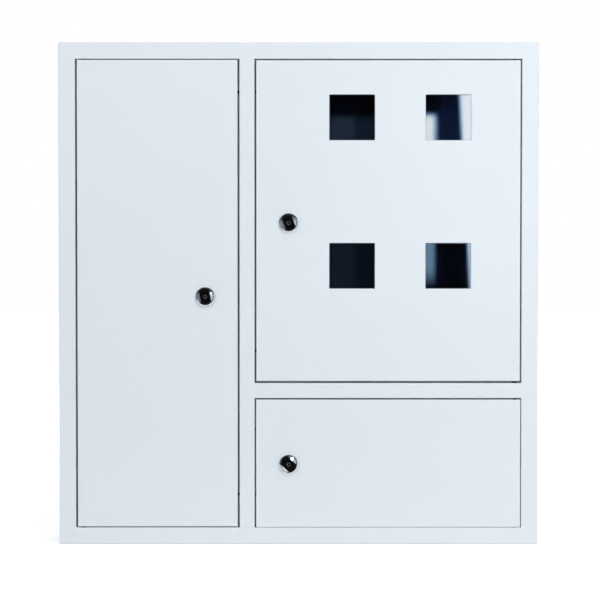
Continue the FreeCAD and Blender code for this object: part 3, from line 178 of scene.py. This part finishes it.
def galvanisedFinish(name, settings):
    material, tree, shader = newMaterial(name)
    shader.inputs["Metallic"].default_value = 1.0
    point = objectPoint(tree)
    values = {"Vector": point, "Scale": settings["spangle"]}
    cells = addNode(tree, "ShaderNodeTexVoronoi", inputs=values)
    shade = addNode(tree, "ShaderNodeRGBToBW", inputs={"Color": cells.outputs["Color"]}).outputs["Val"]
    tint = blendColour(tree, shade, settings["dark"], settings["light"])
    tree.links.new(tint, shader.inputs["Base Color"])
    tree.links.new(between(tree, shade, *settings["roughness"], 0.0, 1.0), shader.inputs["Roughness"])
    return material


chromePlate = {
    "light": (0.64, 0.65, 0.67, 1),
    "dark": (0.56, 0.57, 0.59, 1),
    "hazeScale": 160.0,
    "roughness": (0.10, 0.16),
    "pitch": 0.0015,
    "threadFront": -0.1436,  # the thread of the lock barrels starts behind the doors
    "threadDepth": 0.0005,
}


def chromeFinish(name, settings):
    material, tree, shader = newMaterial(name)
    shader.inputs["Metallic"].default_value = 1.0
    point = objectPoint(tree)
    haze = noise(tree, point, settings["hazeScale"])
    tint = blendColour(tree, haze, settings["dark"], settings["light"])
    tree.links.new(tint, shader.inputs["Base Color"])
    tree.links.new(between(tree, haze, *settings["roughness"]), shader.inputs["Roughness"])
    along = addNode(tree, "ShaderNodeSeparateXYZ", inputs={0: point}).outputs["Y"]
    halfPitch = settings["pitch"] / 2
    groove = between(tree, reckon(tree, "PINGPONG", along, halfPitch), 0.0, 1.0, 0.0, halfPitch)
    behind = reckon(tree, "GREATER_THAN", along, settings["threadFront"])
    bumpFrom(tree, shader, reckon(tree, "MULTIPLY", groove, behind), settings["threadDepth"])
    return material


def mouldedFinish(name, settings):
    material, tree, shader = newMaterial(name)
    shader.inputs["Specular IOR Level"].default_value = settings["gloss"]
    point = objectPoint(tree)
    cloud = noise(tree, point, settings["cloudScale"])
    tint = blendColour(tree, cloud, settings["dark"], settings["light"])
    tree.links.new(tint, shader.inputs["Base Color"])
    grain = noise(tree, point, settings["grainScale"], 2.0)
    tree.links.new(between(tree, grain, *settings["roughness"]), shader.inputs["Roughness"])
    bumpFrom(tree, shader, grain, settings["grainDepth"], settings["grainStrength"])
    return material


blackPlastic = {
    "light": (0.004, 0.004, 0.005, 1),
    "dark": (0.002, 0.002, 0.003, 1),
    "cloudScale": 40.0,
    "grainScale": 1800.0,
    "grainDepth": 0.00001,
    "grainStrength": 0.4,
    "roughness": (0.08, 0.13),
    "gloss": 0.4,
}


def recoloured(base, light, dark, roughness):
    return dict(base, light=(*light, 1), dark=(*dark, 1), roughness=roughness)


bluePlastic = recoloured(blackPlastic, (0.05, 0.17, 0.47), (0.04, 0.13, 0.38), (0.35, 0.5))
whitePlastic = recoloured(blackPlastic, (0.80, 0.80, 0.78), (0.75, 0.75, 0.73), (0.4, 0.55))
nylonWasher = recoloured(blackPlastic, (0.022, 0.022, 0.023), (0.014, 0.014, 0.015), (0.42, 0.55))
bufferRubber = recoloured(blackPlastic, (0.030, 0.030, 0.031), (0.020, 0.020, 0.021), (0.6, 0.8))
# grey of the pane seals, also painting the shadow line at the window edges
sealRubberAndShadowLine = recoloured(blackPlastic, (0.27, 0.28, 0.29), (0.22, 0.23, 0.24), (0.5, 0.7))
# flat grey of the key seats, which also paints the dim highlight at the key pins
dullZincAndHighlight = recoloured(blackPlastic, (0.17, 0.17, 0.175), (0.13, 0.13, 0.135), (0.5, 0.7))
pinSteel = recoloured(zincPlate, (0.10, 0.10, 0.105), (0.06, 0.06, 0.065), (0.34, 0.5))
barBrass = recoloured(zincPlate, (0.80, 0.62, 0.30), (0.66, 0.48, 0.20), (0.24, 0.40))

# panes tinted dark blue, which darkens them and the view into the box
darkBluePane = {
    "tint": (0.046, 0.062, 0.118, 1),
    "refraction": 1.49,
    "smearScale": 24.0,
    "roughness": (0.016, 0.028),
}


def paneFinish(name, settings):
    material, tree, shader = newMaterial(name)
    shader.inputs["Base Color"].default_value = settings["tint"]
    shader.inputs["Transmission Weight"].default_value = 1.0
    shader.inputs["IOR"].default_value = settings["refraction"]
    smear = noise(tree, objectPoint(tree), settings["smearScale"], 5.0)
    tree.links.new(between(tree, smear, *settings["roughness"], 0.45, 0.75), shader.inputs["Roughness"])
    return material


finishes = {
    "painted_steel": powderCoatFinish("powderCoat", powderCoat),
    "zinc_steel": zincFinish("zincPlate", zincPlate),
    "dark_steel": zincFinish("pinSteel", pinSteel),
    "galvanised": galvanisedFinish("galvanisedSheet", galvanisedSheet),
    "chrome": chromeFinish("chromePlate", chromePlate),
    "black_plastic": mouldedFinish("blackPlastic", blackPlastic),
    "blue_plastic": mouldedFinish("bluePlastic", bluePlastic),
    "white_plastic": mouldedFinish("whitePlastic", whitePlastic),
    "nylon": mouldedFinish("nylonWasher", nylonWasher),
    "rubber": mouldedFinish("bufferRubber", bufferRubber),
    "pale_rubber_and_shadow_line": mouldedFinish("sealRubberAndShadowLine", sealRubberAndShadowLine),
    "dull_zinc_and_highlight": mouldedFinish("dullZincAndHighlight", dullZincAndHighlight),
    "brass": zincFinish("barBrass", barBrass),
    "glass": paneFinish("darkBluePane", darkBluePane),
}
galvanisedNodes = ("meter_panel", "signal_plate", "panel_bracket_upper", "panel_bracket_lower")
ownFinish = dict.fromkeys(galvanisedNodes, "galvanised")
ownFinish["pivot_pins"] = "dark_steel"


def dress(piece, finish):
    piece.data.materials.clear()
    piece.data.materials.append(finishes[finish])


for node, piece in nodes.items():
    dress(piece, ownFinish.get(node, slotOf[node]))
print("finishes:", len(finishes))


# helpers for the small pieces, each drawn about +Z and then set with +Z to the front

weldDistance = 0.000001


def ofKind(items, kind):
    return [item for item in items if isinstance(item, kind)]


def looseBoxes(node):
    # the corners of each separate solid of a node
    shape = bmesh.new()
    shape.from_mesh(nodes[node].data)
    bmesh.ops.remove_doubles(shape, verts=shape.verts, dist=weldDistance)
    waiting = set(shape.verts)
    boxes = []
    while waiting:
        group = [waiting.pop()]
        reached = []
        while group:
            vert = group.pop()
            reached.append(vert.co.copy())
            linked = {edge.other_vert(vert) for edge in vert.link_edges} & waiting
            waiting -= linked
            group.extend(linked)
        low = Vector([min(point[axis] for point in reached) for axis in range(3)])
        high = Vector([max(point[axis] for point in reached) for axis in range(3)])
        boxes.append((low, high))
    shape.free()
    return sorted(boxes, key=lambda box: tuple(box[0]))


def facing(x, y, z, turn=0.0):
    upright = Matrix.Rotation(math.radians(90), 4, "X") @ Matrix.Rotation(math.radians(turn), 4, "Z")
    return Matrix.Translation((x, y, z)) @ upright


def ring(shape, radius, level, segments=24):
    verts = bmesh.ops.create_circle(shape, segments=segments, radius=radius)["verts"]
    bmesh.ops.translate(shape, verts=verts, vec=(0, 0, level))
    return list({edge for vert in verts for edge in vert.link_edges})


def growLoop(shape, edges, widen, lift):
    made = bmesh.ops.extrude_edge_only(shape, edges=edges)["geom"]
    verts = ofKind(made, bmesh.types.BMVert)
    bmesh.ops.scale(shape, vec=(widen, widen, 1), verts=verts)
    bmesh.ops.translate(shape, vec=(0, 0, lift), verts=verts)
    new = set(verts)
    return [edge for edge in ofKind(made, bmesh.types.BMEdge) if set(edge.verts) <= new]


def closeLoop(shape, edges):
    bmesh.ops.holes_fill(shape, edges=edges, sides=0)


def thicken(shape, depth):
    # a flat outline becomes a plate
    made = bmesh.ops.extrude_face_region(shape, geom=list(shape.faces))["geom"]
    bmesh.ops.translate(shape, verts=ofKind(made, bmesh.types.BMVert), vec=(0, 0, depth))


def setMany(patterns):
    # one mesh from several (shape, place) pairs
    whole = bmesh.new()
    for shape, place in patterns:
        data = bpy.data.meshes.new("pattern")
        shape.to_mesh(data)
        start = len(whole.verts)
        whole.from_mesh(data)
        whole.verts.ensure_lookup_table()
        bmesh.ops.transform(whole, matrix=place, verts=whole.verts[start:])
        bpy.data.meshes.remove(data)
    return whole


creaseAngle = 32.0


def addPiece(name, shape, finish, carrier, stands=False):
    bmesh.ops.recalc_face_normals(shape, faces=shape.faces)
    data = bpy.data.meshes.new(name)
    shape.to_mesh(data)
    shape.free()
    data.polygons.foreach_set("use_smooth", [True] * len(data.polygons))
    data.set_sharp_from_angle(angle=math.radians(creaseAngle))
    data.materials.append(finishes[finish])
    piece = bpy.data.objects.new(name, data)
    bpy.context.scene.collection.objects.link(piece)
    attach(piece, bodyOf[carrier])
    if stands:
        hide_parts(carrier)
    print("made", name, "with", len(data.polygons), "faces")


def seatScrews(name, node, settings, drawScrew):
    # a screw for each solid of the node, its head on the same seat
    patterns = []
    for number, (low, high) in enumerate(looseBoxes(node)):
        middle = (low + high) / 2
        seat = low.y + settings["rise"]
        place = facing(middle.x, seat, middle.z, number * settings["turnStep"])
        patterns.append((drawScrew(settings, high.y - seat), place))
    addPiece(name, setMany(patterns), "zinc_steel", node, stands=True)


# pan-head screws with a cross recess

fixingScrew = {
    "head": 0.0045,
    "rise": 0.0026,
    "crown": 0.62,
    "profile": ((1.36, -0.12), (1.13, -0.26), (1.05, -0.34), (1.0, -0.28)),  # out and down from the crown
    "arm": 0.0022,
    "web": 0.0005,
    "recess": 0.0013,
    "recessTaper": 0.7,
    "shank": 0.0025,
    "turnStep": 37.0,
}


def crossScrew(settings, length):
    shape = bmesh.new()
    arm, web, rise, head = (settings[key] for key in ("arm", "web", "rise", "head"))
    quarter = [(web, arm), (-web, arm), (-web, web)]
    corners = []
    for turn in range(4):
        spun = Matrix.Rotation(math.radians(90 * turn), 2)
        corners += [spun @ Vector(corner) for corner in quarter]
    verts = [shape.verts.new((*corner, rise)) for corner in corners]
    cross = [shape.edges.new((vert, verts[index - 1])) for index, vert in enumerate(verts)]
    rim = ring(shape, head * settings["crown"], rise)
    bmesh.ops.bridge_loops(shape, edges=cross + rim)
    closeLoop(shape, growLoop(shape, cross, settings["recessTaper"], -settings["recess"]))
    for widen, fall in settings["profile"]:
        rim = growLoop(shape, rim, widen, rise * fall)
    rim = growLoop(shape, rim, settings["shank"] / head, 0.0)
    closeLoop(shape, growLoop(shape, rim, 1.0, -length))
    return shape


seatScrews("crossScrews", "fixing_screws", fixingScrew, crossScrew)


# slotted screws of the two bars

barScrew = {
    "head": 0.004,
    "rise": 0.0035,
    "halfSlot": 0.0005,
    "slotDepth": 0.0014,
    "ease": 0.0003,
    "headSegments": 32,
    "shank": 0.0025,
    "turnStep": 53.0,
}


def drum(shape, radius, low, high, segments=24):
    made = bmesh.ops.create_cone(shape, depth=high - low, radius1=radius, radius2=radius, segments=segments,
                                 cap_ends=True, cap_tris=False)
    bmesh.ops.translate(shape, verts=made["verts"], vec=(0, 0, (low + high) / 2))
    return made["verts"]


def slottedScrew(settings, length):
    shape = bmesh.new()
    rise = settings["rise"]
    floor = rise - settings["slotDepth"]
    # the head beside the slot is two halves, each cut from a drum with an eased edge
    for side in (-1, 1):
        verts = drum(shape, settings["head"], floor, rise, settings["headSegments"])
        high = {vert for vert in verts if vert.co.z > (floor + rise) / 2}
        top = {edge for vert in high for edge in vert.link_edges if edge.other_vert(vert) in high}
        eased = bmesh.ops.bevel(shape, geom=list(top), affect="EDGES", offset=settings["ease"], segments=2,
                                profile=0.5, material=-1)
        verts = {vert for vert in verts if vert.is_valid} | set(eased["verts"])
        faces = {face for vert in verts for face in vert.link_faces}
        edges = {edge for vert in verts for edge in vert.link_edges}
        cut = bmesh.ops.bisect_plane(shape, geom=[*verts, *edges, *faces], clear_outer=True,
                                     plane_co=(settings["halfSlot"] * side, 0, 0), plane_no=(-side, 0, 0))
        closeLoop(shape, ofKind(cut["geom_cut"], bmesh.types.BMEdge))
    drum(shape, settings["head"], 0.0, floor, settings["headSegments"])
    drum(shape, settings["shank"], -length, 0.0)
    return shape


seatScrews("slottedScrews", "terminal_screws", barScrew, slottedScrew)


# knurled thumb screws of the breaker cover

thumbScrew = {
    "head": 0.007,
    "rise": 0.008,
    "teeth": 36,
    "toothDepth": 0.00045,
    "ease": 0.0008,
    "dish": 0.0012,
    "dishRim": 0.72,
    "dishFloor": 0.86,
    "shank": 0.002,
    "turnStep": 0.0,
}


def roundTheAxis(vert):
    return math.atan2(vert.co.y, vert.co.x)


def knurledScrew(settings, length):
    shape = bmesh.new()
    head, ease = settings["head"], settings["ease"]
    rim = ring(shape, head, ease, settings["teeth"] * 2)
    verts = sorted({vert for edge in rim for vert in edge.verts}, key=roundTheAxis)
    valley = 1.0 - settings["toothDepth"] / head
    bmesh.ops.scale(shape, vec=(valley, valley, 1), verts=verts[::2])
    narrow = 1.0 - ease / head
    foot = growLoop(shape, rim, narrow, -ease)
    foot = growLoop(shape, foot, settings["shank"] / head, 0.0)
    closeLoop(shape, growLoop(shape, foot, 1.0, -length))
    top = growLoop(shape, rim, 1.0, settings["rise"] - 2 * ease)
    top = growLoop(shape, top, narrow, ease)
    top = growLoop(shape, top, settings["dishRim"], 0.0)
    closeLoop(shape, growLoop(shape, top, settings["dishFloor"], -settings["dish"]))
    return shape


seatScrews("thumbScrews", "cover_screws", thumbScrew, knurledScrew)


# threads, nuts and washers

threadForm = {"depth": 0.55, "spare": 2, "steps": 20, "weld": 0.02}  # depth and weld in pitches


def threadedRod(radius, pitch, length, settings=threadForm):
    shape = bmesh.new()
    spare, steps = settings["spare"], settings["steps"]
    groove = radius - pitch * settings["depth"]
    verts = []
    for step in range(2 * (int(length / pitch) + 2 * spare)):
        level = (step / 2 - spare) * pitch
        verts.append(shape.verts.new((groove if step % 2 else radius, 0, level)))
    edges = [shape.edges.new(pair) for pair in zip(verts, verts[1:])]
    bmesh.ops.spin(shape, geom=verts + edges, axis=(0, 0, 1), cent=(0, 0, 0), dvec=(0, 0, pitch / steps),
                   angle=math.radians(360), steps=steps)
    bmesh.ops.remove_doubles(shape, verts=shape.verts, dist=pitch * settings["weld"])
    # the spare turns come off at both ends
    for level, way in ((0.0, -1), (length, 1)):
        geom = [*shape.verts, *shape.edges, *shape.faces]
        cut = bmesh.ops.bisect_plane(shape, geom=geom, clear_outer=True, plane_co=(0, 0, level),
                                     plane_no=(0, 0, way))
        closeLoop(shape, ofKind(cut["geom_cut"], bmesh.types.BMEdge))
    return shape


def hexNut(across, thick, bore, corner=0.10):
    shape = bmesh.new()
    outer = ring(shape, across / math.sqrt(3), 0.0, 6)
    bmesh.ops.bridge_loops(shape, edges=outer + ring(shape, bore / 2, 0.0))
    thicken(shape, thick)
    tips = [vert for vert in shape.verts if vert.co.xy.length > across / 2]
    bmesh.ops.bevel(shape, geom=tips, affect="VERTICES", offset=across * corner, segments=1, profile=0.5,
                    material=-1)
    return shape


def plainWasher(across, thick, bore, ease=0.0002):
    shape = bmesh.new()
    outer = ring(shape, across / 2, 0.0, 32)
    bmesh.ops.bridge_loops(shape, edges=outer + ring(shape, bore / 2, 0.0, 32))
    thicken(shape, thick)
    sharp = [edge for edge in shape.edges if edge.calc_face_angle(0.0) > math.radians(60)]
    bmesh.ops.bevel(shape, geom=sharp, affect="EDGES", offset=ease, segments=2, profile=0.5, material=-1)
    return shape


# studs and nuts of the window retainers

windowStud = {
    "radius": 0.002,
    "pitch": 0.0007,
    "nut": 0.007,
    "nutThick": 0.0032,
    "nutTurn": 30.0,
    "proud": 0.001,
}


def makeWindowStuds(settings):
    node = "window_studs_and_nuts"
    patterns = []
    for low, high in looseBoxes(node):
        middle = (low + high) / 2
        rod = threadedRod(settings["radius"], settings["pitch"], high.y - low.y)
        patterns.append((rod, facing(middle.x, high.y, middle.z)))
        nut = hexNut(settings["nut"], settings["nutThick"], settings["radius"] * 2)
        seat = low.y + settings["proud"] + settings["nutThick"]
        patterns.append((nut, facing(middle.x, seat, middle.z, settings["nutTurn"])))
    addPiece("windowStuds", setMany(patterns), "zinc_steel", node, stands=True)


makeWindowStuds(windowStud)


# earth stud with two nuts, each on its washer

earthStud = {
    "radius": 0.004,
    "pitch": 0.00125,
    "length": 0.032,
    "nut": 0.013,
    "nutThick": 0.0065,
    "nutTurns": (12.0, 41.0),
    "washer": 0.017,
    "washerThick": 0.0016,
    "washerPlay": 0.0004,
}


def makeEarthTerminal(settings):
    node = "earth_terminal"
    low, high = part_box(node)
    middle = (low + high) / 2
    rod = threadedRod(settings["radius"], settings["pitch"], settings["length"])
    patterns = [(rod, facing(middle.x, high.y, middle.z))]
    level = high.y
    bore = settings["radius"] * 2
    for turn in settings["nutTurns"]:
        washer = plainWasher(settings["washer"], settings["washerThick"], bore + settings["washerPlay"])
        patterns.append((washer, facing(middle.x, level, middle.z)))
        level -= settings["washerThick"]
        nut = hexNut(settings["nut"], settings["nutThick"], bore)
        patterns.append((nut, facing(middle.x, level, middle.z, turn)))
        level -= settings["nutThick"]
    addPiece("earthStud", setMany(patterns), "zinc_steel", node, stands=True)


makeEarthTerminal(earthStud)


# rubber door buffers, domed

doorBuffer = {"dome": 0.45, "crown": 0.55, "steps": 6, "segments": 32}


def makeBuffers(settings):
    node = "door_buffers"
    crown = settings["crown"]
    patterns = []
    for low, high in looseBoxes(node):
        middle = (low + high) / 2
        rise = high.y - low.y
        domeRise = rise * settings["dome"]
        shape = bmesh.new()
        edge = ring(shape, (high.x - low.x) / 2, 0.0, settings["segments"])
        closeLoop(shape, edge)
        edge = growLoop(shape, edge, 1.0, rise - domeRise)
        lastAcross, lastUp = 1.0, 0.0
        for step in range(1, settings["steps"] + 1):
            angle = math.radians(90 * step / settings["steps"])
            across = crown + (1.0 - crown) * math.cos(angle)
            up = math.sin(angle)
            edge = growLoop(shape, edge, across / lastAcross, domeRise * (up - lastUp))
            lastAcross, lastUp = across, up
        closeLoop(shape, edge)
        patterns.append((shape, facing(middle.x, high.y, middle.z)))
    addPiece("buffers", setMany(patterns), "rubber", node, stands=True)


makeBuffers(doorBuffer)


# thin grey beads between the panes and the edges of the windows, a seal whose grey also paints the shadow
# line along the window edges

paneSealAndShadowLine = {"opening": 0.0909, "corner": 0.0015, "lip": 0.0004, "depth": 0.0005, "windows": 4}


def sealAndShadowLineFrame(settings):
    shape = bmesh.new()
    outline = ring(shape, settings["opening"] / math.sqrt(2), 0.0, 4)
    bmesh.ops.rotate(shape, verts=shape.verts, matrix=Matrix.Rotation(math.radians(45), 3, "Z"))
    bmesh.ops.contextual_create(shape, geom=outline)
    bmesh.ops.bevel(shape, geom=list(shape.verts), affect="VERTICES", offset=settings["corner"], segments=4,
                    profile=0.5, material=-1)
    face = list(shape.faces)[0]
    bmesh.ops.inset_region(shape, faces=[face], thickness=settings["lip"], use_even_offset=True,
                           use_boundary=True)
    bmesh.ops.delete(shape, geom=[face], context="FACES")
    thicken(shape, settings["depth"])
    return shape


def makePaneSealsAndShadowLines(settings):
    patterns = []
    for number in range(1, settings["windows"] + 1):
        low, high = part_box(f"window_pane_{number}")
        middle = (low + high) / 2
        patterns.append((sealAndShadowLineFrame(settings), facing(middle.x, low.y, middle.z)))
    addPiece("paneSealsAndShadowLines", setMany(patterns), "pale_rubber_and_shadow_line", "meter_door")


makePaneSealsAndShadowLines(paneSealAndShadowLine)


# dull zinc seats about the pins in the key sockets of the locks, their flat grey also painting the dim
# highlight at each pin

keySeatAndHighlight = {"outer": 0.0088, "bore": 0.0037, "thick": 0.0005, "ease": 0.0001, "socketDepth": 0.005}


def makeKeySeatsAndHighlights(settings):
    for side in ("left", "meter", "breaker"):
        node = f"{side}_lock_insert"
        low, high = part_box(node)
        middle = (low + high) / 2
        floor = low.y + settings["socketDepth"]
        washer = plainWasher(settings["outer"], settings["thick"], settings["bore"], settings["ease"])
        shape = setMany([(washer, facing(middle.x, floor, middle.z))])
        addPiece(f"{side}KeySeatAndHighlight", shape, "dull_zinc_and_highlight", node)


makeKeySeatsAndHighlights(keySeatAndHighlight)


# floor, light and camera

floorPlan = {
    "halfWidth": 8.0,
    "front": 0.95,
    "back": 14.0,
    "colour": (0.70, 0.70, 0.70, 1),
    "nearLift": 0.55,
    "near": 0.7,
    "far": 2.4,
}


def shinyRay(tree, path):
    return reckon(tree, "MAXIMUM", path.outputs["Is Glossy Ray"], path.outputs["Is Transmission Ray"])


def lengthOf(tree, vector):
    return addNode(tree, "ShaderNodeVectorMath", {"operation": "LENGTH"}, {0: vector}).outputs["Value"]


def floorFinish(settings):
    material, tree, shader = newMaterial("paleFloor")
    shader.inputs["Base Color"].default_value = settings["colour"]
    shader.inputs["Roughness"].default_value = 1.0
    shader.inputs["Specular IOR Level"].default_value = 0.0
    # white for the camera, metal and glass, with the shadow left in near the box
    path = addNode(tree, "ShaderNodeLightPath")
    away = lengthOf(tree, objectPoint(tree))
    lift = between(tree, away, settings["nearLift"], 1.0, settings["near"], settings["far"])
    seen = reckon(tree, "MAXIMUM", path.outputs["Is Camera Ray"], shinyRay(tree, path))
    shader.inputs["Emission Color"].default_value = (1, 1, 1, 1)
    tree.links.new(reckon(tree, "MULTIPLY", seen, lift), shader.inputs["Emission Strength"])
    return material


def layFloor(settings):
    shape = bmesh.new()
    bmesh.ops.create_grid(shape, x_segments=1, y_segments=1, size=1.0)
    depth = settings["back"] + settings["front"]
    bmesh.ops.scale(shape, verts=shape.verts, vec=(settings["halfWidth"], depth / 2, 1))
    bmesh.ops.translate(shape, verts=shape.verts, vec=(0, depth / 2 - settings["front"], cadBox[0].z))
    data = bpy.data.meshes.new("floor")
    shape.to_mesh(data)
    shape.free()
    data.materials.append(floorFinish(settings))
    floor = bpy.data.objects.new("floor", data)
    bpy.context.scene.collection.objects.link(floor)


layFloor(floorPlan)
print("floor laid")

room = {
    "ambient": 0.245,
    "colour": (0.82, 0.91, 1.0, 1),  # of what metal and glass show
    "middle": 0.02,
    "left": 0.3,
    "right": 0.95,
    "above": 0.15,
    "middleEdge": (0.30, 0.42),
    "sideEdge": (-0.3, 0.3),
    "aboveEdge": (0.1, 0.4),
    "backdropEdge": (-0.15, 0.25),
}


def paintRoom(settings):
    world = bpy.data.worlds.new("studio")
    world.use_nodes = True
    bpy.context.scene.world = world
    tree = world.node_tree
    tree.nodes.clear()
    path = addNode(tree, "ShaderNodeLightPath")
    outlook = addNode(tree, "ShaderNodeTexCoord").outputs["Generated"]
    along = addNode(tree, "ShaderNodeSeparateXYZ", inputs={0: outlook})
    # the white backdrop is behind the box, the room behind the camera is dim
    side = between(tree, along.outputs["X"], settings["left"], settings["right"], *settings["sideEdge"])
    flat = addNode(tree, "ShaderNodeVectorMath", {"operation": "MULTIPLY"}, {0: outlook, 1: (1, 0, 1)})
    aside = lengthOf(tree, flat.outputs["Vector"])
    walls = between(tree, aside, settings["middle"], side, *settings["middleEdge"])
    shade = between(tree, along.outputs["Z"], 1.0, settings["above"], *settings["aboveEdge"])
    walls = reckon(tree, "MULTIPLY", walls, shade)
    backdrop = between(tree, along.outputs["Y"], walls, 1.0, *settings["backdropEdge"])
    white = (1, 1, 1, 1)
    light = addNode(tree, "ShaderNodeBackground", inputs={"Color": white, "Strength": settings["ambient"]})
    shown = addNode(tree, "ShaderNodeBackground",
                    inputs={"Color": settings["colour"], "Strength": backdrop})
    plain = addNode(tree, "ShaderNodeBackground", inputs={"Color": white, "Strength": 1.0})
    mirrored = addNode(tree, "ShaderNodeMixShader",
                       inputs={0: shinyRay(tree, path), 1: light.outputs[0], 2: shown.outputs[0]})
    whole = addNode(tree, "ShaderNodeMixShader",
                    inputs={0: path.outputs["Is Camera Ray"], 1: mirrored.outputs[0], 2: plain.outputs[0]})
    addNode(tree, "ShaderNodeOutputWorld", inputs={"Surface": whole.outputs[0]})


paintRoom(room)

softLamps = [
    # name, place, aim, width, height, watts, shows in metal and glass
    ("keyLamp", (1.9, -2.5, 1.35), (0.25, -0.15, 0.2), 1.5, 1.9, 54, False),
    ("fillLamp", (-2.4, -2.8, 1.2), (-0.1, -0.15, 0.15), 1.6, 1.9, 48, False),
    ("topLamp", (0.2, -1.9, 2.6), (0.0, -0.15, 0.0), 2.2, 1.2, 10, False),
    ("backLamp", (0.6, 2.6, 1.8), (0.0, 0.0, 0.0), 2.0, 1.6, 40, True),
]

# cards beside the camera, for the panes and the locks to mirror
lightCards = [
    # name, place, width, height, soft edge across and up, tilt, brightness, colour, cool edge
    ("upperCard", (0.4967, -3.15, 0.4838), 0.0964, 0.328, (0.040, 0.038), 0.0, 18.0, (0.91, 0.98, 1.0), 1.0),
    ("lowerCard", (0.4944, -3.15, 0.127), 0.0938, 0.246, (0.028, 0.096), 0.0, 6.7, (0.395, 0.70, 1.0), 0.0),
    ("sideCard", (0.7404, -3.15, 0.56), 0.18, 0.36, (0.026, 0.026), -3.1, 19.8, (0.90, 0.97, 1.0), 1.0),
    ("sideCardLow", (0.7615, -3.15, 0.15), 0.18, 0.46, (0.017, 0.026), -3.1, 15.0, (0.62, 0.82, 1.0), 0.6),
    ("dimCard", (0.175, -3.15, 0.57), 0.095, 0.14, (0.028, 0.028), 0.0, 0.30, (0.56, 0.83, 1.0), 0.0),
    ("dimCardWide", (0.22, -3.18, 0.57), 0.24, 0.14, (0.028, 0.044), 0.0, 0.36, (0.25, 0.62, 1.0), 0.0),
    ("dimCardLow", (0.175, -3.15, 0.04), 0.095, 0.22, (0.028, 0.028), 0.0, 0.16, (0.42, 0.70, 1.0), 0.0),
    ("dimCardLowWide", (0.22, -3.18, 0.04), 0.24, 0.22, (0.028, 0.028), 0.0, 0.15, (0.35, 0.55, 1.0), 0.0),
    ("navyCard", (0.634, -3.18, 0.5525), 0.1515, 0.305, (0.064, 0.16), 0.0, 0.45, (0.13, 0.31, 1.0), 0.0),
]
edgeLoss = (0.75, 0.33, 0.0)  # how much sooner red, green and blue fade at a cool edge


def areaLamp(name, place, width, height, watts):
    data = bpy.data.lights.new(name, "AREA")
    data.shape = "RECTANGLE"
    data.size = width
    data.size_y = height
    data.energy = watts
    lamp = bpy.data.objects.new(name, data)
    bpy.context.scene.collection.objects.link(lamp)
    lamp.location = place
    return lamp


def softenEdges(lamp, feather, coolEdge):
    # a card's brightness falls off towards its edges, and a cool edge turns blue
    lamp.data.use_nodes = True
    tree = lamp.data.node_tree
    spot = addNode(tree, "ShaderNodeNewGeometry").outputs["Parametric"]
    across = addNode(tree, "ShaderNodeSeparateXYZ", inputs={0: spot})
    fades = []
    for axis, span, soft in zip("XY", (lamp.data.size, lamp.data.size_y), feather):
        out = reckon(tree, "ABSOLUTE", reckon(tree, "SUBTRACT", across.outputs[axis], 0.5))
        values = {"Value": out, "From Min": 0.5, "From Max": 0.5 - soft / span}
        fade = addNode(tree, "ShaderNodeMapRange", {"interpolation_type": "SMOOTHSTEP"}, values)
        fades.append(fade.outputs["Result"])
    fade = reckon(tree, "MULTIPLY", *fades)
    tint = {channel: reckon(tree, "POWER", fade, coolEdge * loss) for channel, loss in enumerate(edgeLoss)}
    glow = tree.nodes["Emission"]
    cool = addNode(tree, "ShaderNodeCombineColor", inputs=tint)
    tree.links.new(cool.outputs["Color"], glow.inputs["Color"])
    tree.links.new(fade, glow.inputs["Strength"])


def lightStudio(lamps, cards):
    for name, place, aim, width, height, watts, shown in lamps:
        lamp = areaLamp(name, place, width, height, watts)
        lamp.rotation_euler = (Vector(aim) - Vector(place)).to_track_quat("-Z", "Y").to_euler()
        lamp.visible_glossy = shown
    for name, place, width, height, feather, tilt, brightness, colour, coolEdge in cards:
        width, height = width + feather[0], height + feather[1]
        lamp = areaLamp(name, place, width, height, math.pi * width * height * brightness)
        lamp.rotation_euler = (math.radians(90), math.radians(tilt), 0)
        lamp.data.color = colour
        lamp.visible_camera = False
        softenEdges(lamp, feather, coolEdge)


lightStudio(softLamps, lightCards)
bpy.context.scene.view_settings.view_transform = "Standard"
print("studio lit:", len(softLamps), "lamps,", len(lightCards), "cards")

cameraStand = {
    "distance": 3.0,
    "rise": 0.064,
    "lens": 90.38,
    "picture": 600,
    "shift": (1.55, -6.05),  # pixels
}


def setCamera(settings):
    data = bpy.data.cameras.new("camera")
    camera = bpy.data.objects.new("camera", data)
    bpy.context.scene.collection.objects.link(camera)
    face = Vector((0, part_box("front_frame")[0].y, 0))
    camera.location = face + Vector((0, -settings["distance"], settings["rise"]))
    camera.rotation_euler = (face - camera.location).to_track_quat("-Z", "Y").to_euler()
    data.sensor_width = 36
    data.lens = settings["lens"]
    data.shift_x, data.shift_y = (pixels / settings["picture"] for pixels in settings["shift"])
    bpy.context.scene.camera = camera


setCamera(cameraStand)
print("camera set")
